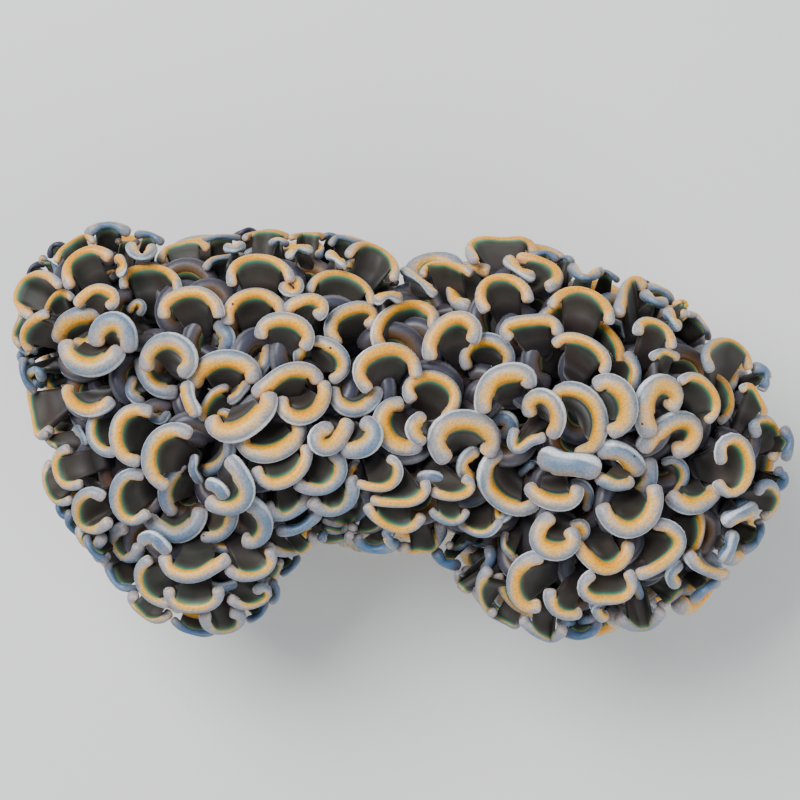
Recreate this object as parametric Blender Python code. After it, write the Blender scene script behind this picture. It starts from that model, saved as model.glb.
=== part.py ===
"""Hammer coral: a stony foot that forks into limbs, and one soft polyp with a crown of hammer-tipped
tentacles on each end of a limb.

Lengths in the tables are millimetres. The row frame has +Z up, +X along the colony's long side, and
its origin at the middle of the flat cut that the foot rests on.
"""

import math

import bmesh
import bpy
import numpy as np
from mathutils import Matrix, Vector

MM = 0.001

# Each polyp: the centre and the radius of the crown that its open tentacles fill.
POLYPS = {
    "upper_left": ((-64.0, 24.0, 43.0), 21.5),
    "lower_left": ((-56.5, -4.0, 45.0), 22.0),
    "bottom_left": ((-42.5, -23.5, 42.0), 21.0),
    "top_left": ((-38.5, 22.0, 48.0), 22.3),
    "left_centre": ((-29.5, -1.5, 52.0), 24.0),
    "inner_left": ((-16.5, 21.0, 49.0), 22.3),
    "middle": ((2.0, -1.5, 49.0), 24.3),
    "inner_right": ((21.0, 21.0, 48.0), 21.5),
    "right_centre": ((42.5, 8.5, 52.0), 25.5),
    "far_right": ((62.5, -1.5, 44.0), 22.0),
    "bottom_right": ((32.5, -23.5, 45.0), 22.3),
    "lower_right": ((53.5, -20.5, 43.0), 21.3),
}

# Each limb leaves the foot as one stem and ends in the cups of these polyps.
LIMBS = {
    "limb_far_left": ("upper_left", "lower_left", "bottom_left"),
    "limb_left": ("top_left", "left_centre"),
    "limb_middle": ("inner_left", "middle", "inner_right"),
    "limb_right": ("right_centre", "far_right"),
    "limb_lower_right": ("bottom_right", "lower_right"),
}

# The canopy is the crowns melted together: the length over which two of them blend.
CANOPY_BLEND = 5.0
CANDIDATES_PER_CROWN = 420
LOWEST_NORMAL_Z = -0.5

# One tentacle's hammer: an arc, tilted back from the tentacle's own direction.
HAMMER_ARC_RADIUS = 4.4
HAMMER_HALF_THICKNESS = 1.7
HAMMER_ARM_TAPER = 0.8
HAMMER_TILT = math.radians(48)
HAMMER_MIDDLE_ANGLE = math.radians(30)
HAMMER_END_ANGLE = math.radians(98)
HAMMER_INSET = 4.8
STALK_BASE_HALF_WIDTH = 0.9
STALK_ROOT_SHARE = 0.72
LOWEST_ROOT_Z = -0.8

# How close the middles of two neighbours may come: heads on one polyp, heads on two polyps, a head and
# the stalk of another polyp, and stalks of two polyps.
HEAD_SPACING = 5.5
FOREIGN_HEAD_SPACING = 5.2
HEAD_TO_STALK = 4.5
STALK_TO_STALK = 3.8

# The soft body under the tentacles.
POLYP_BODY_RADIUS = 10.0
POLYP_BODY_SIDES = 10
POLYP_BODY_RINGS = 6

# The stony skeleton.
FOOT_RADII = (43.0, 27.0, 17.0)
FOOT_SIDES = 28
FOOT_RINGS = 8
FOOT_FLUTES = 7
FOOT_FLUTE_DEPTH = 0.045
LIMB_START_SHARE = 0.55
LIMB_START_Z = 4.0
LIMB_FORK_SHARE = 0.84
LIMB_FORK_Z = 21.0
LIMB_RADIUS = 6.0
FORK_SWELLING = 1.2
ARM_SAG = 1.5
CUP_RADIUS = 6.8
CUP_TOP_BELOW_CENTRE = 3.0
LIMB_SIDES_RESOLUTION = 1
GAP = 0.3

FLESH = ((0.16, 0.14, 0.12), 0.45)
STONE = ((0.62, 0.56, 0.47), 0.85)


def clear_scene():
    for obj in list(bpy.data.objects):
        bpy.data.objects.remove(obj)


def new_collection(name):
    made = bpy.data.collections.new(name)
    bpy.context.scene.collection.children.link(made)
    return made


def new_material(name, colour, roughness):
    made = bpy.data.materials.new(name)
    made.use_nodes = True
    shader = made.node_tree.nodes["Principled BSDF"]
    shader.inputs["Base Color"].default_value = (*colour, 1.0)
    shader.inputs["Roughness"].default_value = roughness
    shader.inputs["Metallic"].default_value = 0.0
    return made


def object_from(bm, name, collection, material=None):
    """A mesh object in metres, made from a bmesh in millimetres."""
    bmesh.ops.scale(bm, vec=(MM, MM, MM), verts=bm.verts)
    mesh = bpy.data.meshes.new(name)
    bm.to_mesh(mesh)
    bm.free()
    if material:
        mesh.materials.append(material)
    obj = bpy.data.objects.new(name, mesh)
    collection.objects.link(obj)
    return obj


def as_helper(obj):
    obj.hide_render = True
    obj.display_type = "WIRE"
    return obj


def add_boolean(obj, operation, other):
    modifier = obj.modifiers.new(operation.title(), "BOOLEAN")
    modifier.operation = operation
    modifier.object = other
    return modifier


# Where the tentacles end


def canopy(points):
    """Distance of each point from the melted crowns, and the direction straight out of them."""
    centres = np.array([centre for centre, _ in POLYPS.values()])
    radii = np.array([radius for _, radius in POLYPS.values()])
    offsets = points[:, None, :] - centres
    lengths = np.sqrt((offsets**2).sum(axis=2))
    shares = np.exp((radii - lengths) / CANOPY_BLEND)
    total = shares.sum(axis=1)
    normals = (offsets * (shares / lengths)[:, :, None]).sum(axis=1)
    normals /= np.sqrt((normals**2).sum(axis=1))[:, None]
    return -CANOPY_BLEND * np.log(total), normals


def spiral_directions(count):
    """Directions spread evenly over a sphere, on a golden-angle spiral."""
    index = np.arange(count) + 0.5
    height = 1 - 2 * index / count
    turn = index * math.pi * (3 - math.sqrt(5))
    flat = np.sqrt(1 - height**2)
    return np.stack([flat * np.cos(turn), flat * np.sin(turn), height], axis=1)


def canopy_places():
    """For points on the canopy: the polyp each belongs to, the hammer's centre, the directions outward
    and back, and the stalk's root. They come highest first."""
    directions = spiral_directions(CANDIDATES_PER_CROWN)
    points = np.concatenate([np.array(centre) + radius * directions for centre, radius in POLYPS.values()])
    for _ in range(6):
        distances, normals = canopy(points)
        points = points - distances[:, None] * normals
    normals = canopy(points)[1]
    points, normals = points[normals[:, 2] > LOWEST_NORMAL_Z], normals[normals[:, 2] > LOWEST_NORMAL_Z]
    order = np.argsort(-np.round(points[:, 2], 6), kind="stable")
    places = []
    for point, outward in zip(points[order].tolist(), normals[order].tolist()):
        tip, outward = Vector(point), Vector(outward)
        polyp = min(POLYPS, key=lambda name: (tip - Vector(POLYPS[name][0])).length - POLYPS[name][1])
        centre = Vector(POLYPS[polyp][0])
        head = tip - outward * HAMMER_INSET
        root = centre + (head - centre).normalized() * POLYP_BODY_RADIUS * STALK_ROOT_SHARE
        root.z = max(root.z, centre.z + LOWEST_ROOT_Z)
        places.append((polyp, head, outward, downhill(outward), root))
    return places


def downhill(outward):
    """The way down the canopy from a tip: a hammer turns its back to it, so its arms open to the crown."""
    slope = -Vector((0, 0, 1)) + outward * outward.z
    if slope.length < 1e-3:
        slope = Vector((0, 1, 0))
    return slope.normalized()


def guide_points(head, outward, back, root):
    """Points along the middle of a hammer's arc, and points along the middle of its stalk."""
    lateral = back.cross(outward).normalized()
    up = back * math.sin(HAMMER_TILT) + outward * math.cos(HAMMER_TILT)
    angles = [HAMMER_END_ANGLE * share for share in (-0.9, -0.6, -0.3, 0, 0.3, 0.6, 0.9)]
    arc = [head + (lateral * math.sin(angle) + up * math.cos(angle)) * HAMMER_ARC_RADIUS for angle in angles]
    stalk = [arc[3].lerp(root, share) for share in (0.2, 0.4, 0.6, 0.8, 1.0)]
    return np.array(arc), np.array(stalk)


def clear_of(points, others, spacing):
    """Whether no point of a set comes closer than the spacing to another set."""
    if not others:
        return True
    offsets = points[:, None, :] - np.concatenate(others)
    return (offsets**2).sum(axis=2).min() >= spacing**2


def choose_tentacles():
    """The places that tentacles take, each clear of those chosen before it."""
    chosen = {name: [] for name in POLYPS}
    arcs = {name: [] for name in POLYPS}
    stalks = {name: [] for name in POLYPS}
    for polyp, head, outward, back, root in canopy_places():
        arc, stalk = guide_points(head, outward, back, root)
        foreign_arcs = [found for name in POLYPS if name != polyp for found in arcs[name]]
        foreign_stalks = [found for name in POLYPS if name != polyp for found in stalks[name]]
        if (
            clear_of(arc, arcs[polyp], HEAD_SPACING)
            and clear_of(arc, foreign_arcs, FOREIGN_HEAD_SPACING)
            and clear_of(arc, foreign_stalks, HEAD_TO_STALK)
            and clear_of(stalk, foreign_arcs, HEAD_TO_STALK)
            and clear_of(stalk, foreign_stalks, STALK_TO_STALK)
        ):
            chosen[polyp].append((head, outward, back, root))
            arcs[polyp].append(arc)
            stalks[polyp].append(stalk)
    return chosen


# One tentacle


TILT_UP = Vector((0, math.sin(HAMMER_TILT), math.cos(HAMMER_TILT)))
TILT_FACE = Vector((1, 0, 0)).cross(TILT_UP)


def side_face(faces, axis, sign):
    """The block's face that lies furthest along an axis."""
    return max(faces, key=lambda face: sign * face.calc_center_median()[axis])


def add_tentacle(bm, root, head, outward, back):
    """Adds one tentacle from a single block: the hammer's middle, two arms extruded from its sides, and
    a stalk extruded from its palm down to the root. The block is shaped with +Z outward and +Y back."""
    lateral = back.cross(outward).normalized()
    placed = Matrix.Translation(head) @ Matrix((lateral, back, outward)).transposed().to_4x4()
    verts = bmesh.ops.create_cube(bm, size=2.0)["verts"]
    faces = {face for v in verts for face in v.link_faces}
    left, right, palm = side_face(faces, 0, -1), side_face(faces, 0, 1), side_face(faces, 1, -1)
    for v in verts:
        angle = v.co.x * HAMMER_MIDDLE_ANGLE
        out = math.sin(angle) * Vector((1, 0, 0)) + math.cos(angle) * TILT_UP
        radius = HAMMER_ARC_RADIUS + v.co.y * HAMMER_HALF_THICKNESS
        v.co = out * radius + TILT_FACE * (v.co.z * HAMMER_HALF_THICKNESS)

    for face, turn in ((left, -1), (right, 1)):
        end = bmesh.ops.extrude_discrete_faces(bm, faces=[face])["faces"][0]
        middle = end.calc_center_median()
        swing = Matrix.Rotation(turn * (HAMMER_END_ANGLE - HAMMER_MIDDLE_ANGLE), 3, -TILT_FACE)
        for v in end.verts:
            v.co = swing @ (middle + (v.co - middle) * HAMMER_ARM_TAPER)
        verts += end.verts

    base = placed.inverted() @ root
    end = bmesh.ops.extrude_discrete_faces(bm, faces=[palm])["faces"][0]
    middle = end.calc_center_median()
    along = -base.normalized()
    across = (Vector((1, 0, 0)) - along * along.x).normalized()
    front = across.cross(along)
    for v in end.verts:
        side = math.copysign(STALK_BASE_HALF_WIDTH, v.co.x)
        face = math.copysign(STALK_BASE_HALF_WIDTH, (v.co - middle).dot(TILT_FACE))
        v.co = base + across * side + front * face
    verts += end.verts
    bmesh.ops.transform(bm, matrix=placed, verts=verts)


# The pieces


def make_limb(name, polyps, collection, material):
    """A stem from the foot that forks into a cup for each polyp, as one mesh."""
    mean = sum((Vector(POLYPS[polyp][0]) for polyp in polyps), Vector()) / len(polyps)
    start = Vector((mean.x * LIMB_START_SHARE, mean.y * LIMB_START_SHARE, LIMB_START_Z))
    fork = Vector((mean.x * LIMB_FORK_SHARE, mean.y * LIMB_FORK_SHARE, LIMB_FORK_Z))
    limb = make_tube(name, (start, fork), LIMB_RADIUS, LIMB_RADIUS, collection)
    bm = bmesh.new()
    bmesh.ops.create_icosphere(
        bm, subdivisions=1, radius=LIMB_RADIUS * FORK_SWELLING, matrix=Matrix.Translation(fork)
    )
    add_boolean(limb, "UNION", as_helper(object_from(bm, name + "_fork", collection)))
    for polyp in polyps:
        cup = Vector(POLYPS[polyp][0]) - Vector((0, 0, CUP_TOP_BELOW_CENTRE))
        neck = Vector((cup.x, cup.y, (fork.z + cup.z) / 2))
        points = (fork, (fork + neck) / 2 - Vector((0, 0, ARM_SAG)), neck, cup)
        arm = make_tube(f"{name}_{polyp}", points, LIMB_RADIUS, CUP_RADIUS, collection)
        add_boolean(limb, "UNION", as_helper(arm))
    limb.data.materials.append(material)
    return limb


def make_tube(name, points, first_radius, last_radius, collection):
    """A stony tube through some points, as a mesh whose ends are closed."""
    curve = bpy.data.curves.new(name, "CURVE")
    curve.dimensions = "3D"
    curve.bevel_depth = MM
    curve.bevel_resolution = LIMB_SIDES_RESOLUTION
    curve.use_fill_caps = True
    spline = curve.splines.new("POLY")
    spline.points.add(len(points) - 1)
    for i, (point, place) in enumerate(zip(spline.points, points)):
        point.co = (*(place * MM), 1)
        point.radius = first_radius + (last_radius - first_radius) * i / (len(points) - 1)
    guide = bpy.data.objects.new(name + "_guide", curve)
    collection.objects.link(guide)
    bpy.context.view_layer.update()
    mesh = bpy.data.meshes.new_from_object(guide.evaluated_get(bpy.context.evaluated_depsgraph_get()))
    bpy.data.objects.remove(guide)
    bm = bmesh.new()
    bm.from_mesh(mesh)
    bmesh.ops.remove_doubles(bm, verts=bm.verts, dist=0.01 * MM)
    bmesh.ops.recalc_face_normals(bm, faces=bm.faces)
    bm.to_mesh(mesh)
    bm.free()
    tube = bpy.data.objects.new(name, mesh)
    collection.objects.link(tube)
    return tube


def cut_below(bm, height):
    """Cuts a closed shape off flat at a height and keeps what is above."""
    cut = bmesh.ops.bisect_plane(
        bm, geom=[*bm.verts, *bm.edges, *bm.faces], plane_co=(0, 0, height), plane_no=(0, 0, -1), clear_outer=True
    )["geom_cut"]
    bmesh.ops.edgeloop_fill(bm, edges=[e for e in cut if isinstance(e, bmesh.types.BMEdge)])
    bmesh.ops.recalc_face_normals(bm, faces=bm.faces)


def make_foot(name, collection, grow=0.0, material=None):
    """The stony foot: a low fluted mound, cut off flat where it was broken from the rock."""
    bm = bmesh.new()
    bmesh.ops.create_uvsphere(bm, u_segments=FOOT_SIDES, v_segments=FOOT_RINGS, radius=1.0)
    for v in bm.verts:
        turn = math.atan2(v.co.y, v.co.x)
        flute = 1 + FOOT_FLUTE_DEPTH * math.cos(FOOT_FLUTES * turn)
        radii = [radius + grow for radius in FOOT_RADII]
        v.co = (v.co.x * radii[0] * flute, v.co.y * radii[1] * flute, v.co.z * radii[2])
    cut_below(bm, -grow)
    return object_from(bm, name, collection, material)


def make_polyp(name, tentacles, collection, helpers, material):
    """A polyp's soft body and, joined to it, its tentacles."""
    centre = Vector(POLYPS[name][0])
    bm = bmesh.new()
    bmesh.ops.create_uvsphere(
        bm, u_segments=POLYP_BODY_SIDES, v_segments=POLYP_BODY_RINGS, radius=POLYP_BODY_RADIUS,
        matrix=Matrix.Translation(centre),
    )
    cut_below(bm, centre.z - CUP_TOP_BELOW_CENTRE + GAP)
    body = object_from(bm, "polyp_" + name, collection, material)
    bm = bmesh.new()
    for head, outward, back, root in tentacles:
        add_tentacle(bm, root, head, outward, back)
    bmesh.ops.recalc_face_normals(bm, faces=bm.faces)
    crown = as_helper(object_from(bm, "crown_" + name, helpers))
    add_boolean(body, "UNION", crown).use_self = True
    return body


def main():
    clear_scene()
    coral = new_collection("Hammer coral")
    helpers = new_collection("Cutters")
    flesh = new_material("Flesh", *FLESH)
    stone = new_material("Coral stone", *STONE)

    make_foot("foot", coral, material=stone)
    foot_cutter = as_helper(make_foot("foot_cutter", helpers, grow=GAP))
    for name, polyps in LIMBS.items():
        limb = make_limb(name, polyps, coral, stone)
        add_boolean(limb, "DIFFERENCE", foot_cutter)

    tentacles = choose_tentacles()
    for name in POLYPS:
        make_polyp(name, tentacles[name], coral, helpers, flesh)
    print(sum(len(found) for found in tentacles.values()), "tentacles on", len(POLYPS), "polyps")


main()
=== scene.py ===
# %% [markdown]
# # Hammer coral
#
# A hammer coral is a stony coral whose soft polyps fill the water with fleshy tentacles. Each tentacle is a
# dark stalk that fans out and ends in a fat, pale sausage bent into an arc, like the head of a hammer. The
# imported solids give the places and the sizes. This lesson builds the flesh and the stone that are seen.

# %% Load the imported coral
import math

import bmesh
import bpy
import numpy as np
from bmesh.types import BMEdge, BMFace, BMVert
from mathutils import Matrix, Vector, noise


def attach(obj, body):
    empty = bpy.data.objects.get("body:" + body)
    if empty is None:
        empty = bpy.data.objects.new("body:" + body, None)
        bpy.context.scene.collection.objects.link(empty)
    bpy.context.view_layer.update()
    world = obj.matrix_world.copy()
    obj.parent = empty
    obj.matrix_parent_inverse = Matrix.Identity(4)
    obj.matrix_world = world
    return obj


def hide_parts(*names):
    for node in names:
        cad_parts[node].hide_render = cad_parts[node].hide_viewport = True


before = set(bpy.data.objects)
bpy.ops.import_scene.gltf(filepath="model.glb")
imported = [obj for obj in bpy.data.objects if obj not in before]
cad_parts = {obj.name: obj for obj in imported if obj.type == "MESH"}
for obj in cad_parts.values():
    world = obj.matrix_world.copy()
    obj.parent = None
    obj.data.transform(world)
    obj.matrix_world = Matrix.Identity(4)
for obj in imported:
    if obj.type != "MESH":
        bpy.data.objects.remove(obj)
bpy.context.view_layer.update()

MM = 0.001

# %% [markdown]
# ## Where the tentacles end
#
# Every polyp opens its tentacles into a ball-shaped crown, and neighbouring crowns melt into one canopy. A
# canopy point could be found by casting rays at a mesh. Here the crowns are plain spheres blended by a smooth
# formula instead, because the formula also says which way is straight out of the canopy.

# %% Crowns
# Each polyp: the centre and the radius of its crown, in millimetres, as in the solids.
CROWNS = {
    "upper_left": ((-64.0, 24.0, 43.0), 21.5),
    "lower_left": ((-56.5, -4.0, 45.0), 22.0),
    "bottom_left": ((-42.5, -23.5, 42.0), 21.0),
    "top_left": ((-38.5, 22.0, 48.0), 22.3),
    "left_centre": ((-29.5, -1.5, 52.0), 24.0),
    "inner_left": ((-16.5, 21.0, 49.0), 22.3),
    "middle": ((2.0, -1.5, 49.0), 24.3),
    "inner_right": ((21.0, 21.0, 48.0), 21.5),
    "right_centre": ((42.5, 8.5, 52.0), 25.5),
    "far_right": ((62.5, -1.5, 44.0), 22.0),
    "bottom_right": ((32.5, -23.5, 45.0), 22.3),
    "lower_right": ((53.5, -20.5, 43.0), 21.3),
}
CROWN_NAMES = list(CROWNS)
CROWN_CENTRES = np.array([centre for centre, _ in CROWNS.values()])
CROWN_RADII = np.array([radius for _, radius in CROWNS.values()])
print(len(CROWNS), "crowns, the widest", 2 * CROWN_RADII.max(), "mm across")

# %% Canopy
# How far neighbouring crowns melt into one another, in millimetres.
CANOPY_BLEND = 5.0
# The canopy ends where it looks farther down than this.
LOWEST_NORMAL_Z = -0.52
# So many times a point is drawn towards the canopy, until it lies on it.
PULLS = 6


def unit(vectors):
    return vectors / np.linalg.norm(vectors, axis=-1, keepdims=True)


def canopy(points):
    """Distance of each point from the melted crowns, and the direction straight out of them."""
    offsets = points[:, None, :] - CROWN_CENTRES
    lengths = np.linalg.norm(offsets, axis=2)
    shares = np.exp((CROWN_RADII - lengths) / CANOPY_BLEND)
    normals = unit((offsets * (shares / lengths)[:, :, None]).sum(axis=1))
    return -CANOPY_BLEND * np.log(shares.sum(axis=1)), normals


def canopy_points(count):
    """Points spread over the canopy, count to a crown, with the directions out of it."""
    index = np.arange(count) + 0.5
    height = 1 - 2 * index / count
    turn = index * math.pi * (3 - math.sqrt(5))
    flat = np.sqrt(1 - height**2)
    directions = np.stack([flat * np.cos(turn), flat * np.sin(turn), height], axis=1)
    points = np.concatenate([
        centre + radius * directions for centre, radius in zip(CROWN_CENTRES, CROWN_RADII)
    ])
    for _ in range(PULLS):
        distances, normals = canopy(points)
        points = points - distances[:, None] * normals
    normals = canopy(points)[1]
    kept = normals[:, 2] > LOWEST_NORMAL_Z
    return points[kept], normals[kept]


print(len(canopy_points(100)[0]), "canopy points at 100 to a crown")

# %% [markdown]
# ## The way the photograph looks at it
#
# The coral was photographed from straight above. To put a hammer where the photograph shows it, a pixel is
# sent out from the camera as a ray, and the ray is followed until it meets the canopy. Each step may be as
# long as the distance to the canopy, so it never goes through.

# %% View
PICTURE_SIZE = 800
PICTURE_MIDDLE = 400
# One pixel of the picture is this many millimetres at the height of the canopy's rim.
MM_PER_PIXEL = 0.2166
COLONY_MIDDLE_PIXEL = (403.0, 433.0)
RIM_HEIGHT = 45.0
CAMERA_DISTANCE = 520.0
CAMERA_ELEVATION = 88.0
LEAN = math.radians(90 - CAMERA_ELEVATION)
LOOK_AT = np.array([
    (PICTURE_MIDDLE - COLONY_MIDDLE_PIXEL[0]) * MM_PER_PIXEL,
    (COLONY_MIDDLE_PIXEL[1] - PICTURE_MIDDLE) * MM_PER_PIXEL,
    RIM_HEIGHT,
])
TO_CAMERA = np.array([0.0, -math.sin(LEAN), math.cos(LEAN)])
PICTURE_RIGHT = np.array([1.0, 0.0, 0.0])
PICTURE_UP = np.array([0.0, math.cos(LEAN), math.sin(LEAN)])
CAMERA_PLACE = LOOK_AT + TO_CAMERA * CAMERA_DISTANCE
print("the camera stands at, mm:", CAMERA_PLACE.round(1))

# %% Rays
# A ray is followed from this far before the point looked at to as far behind it, in so many steps.
RAY_REACH = 60.0
RAY_STEPS = 70
CLOSE_ENOUGH = 0.01


def on_canopy(pixels, depths, least_depths):
    """Where the rays of some pixels first come to a depth below the canopy, or pass it most closely."""
    across = (pixels[:, :1] - PICTURE_MIDDLE) * MM_PER_PIXEL * PICTURE_RIGHT
    up = (PICTURE_MIDDLE - pixels[:, 1:]) * MM_PER_PIXEL * PICTURE_UP
    ways = unit(across + up - TO_CAMERA * CAMERA_DISTANCE)
    gone = np.full(len(pixels), CAMERA_DISTANCE - RAY_REACH)
    best, best_gone = np.full(len(pixels), np.inf), gone
    for _ in range(RAY_STEPS):
        over = canopy(CAMERA_PLACE + gone[:, None] * ways)[0] + depths
        best_gone = np.where(over < best, gone, best_gone)
        best = np.minimum(over, best)
        step = np.where(over > CLOSE_ENOUGH, over, 0.0)
        gone = np.minimum(gone + step, CAMERA_DISTANCE + RAY_REACH)
    points = CAMERA_PLACE + best_gone[:, None] * ways
    normals = canopy(points)[1]
    return points - np.maximum(best - depths + least_depths, 0)[:, None] * normals, normals


middle = np.array([[PICTURE_MIDDLE, PICTURE_MIDDLE]])
print("the middle pixel meets the canopy at, mm:", on_canopy(middle, 0.0, 0.0)[0].round(1))
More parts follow.
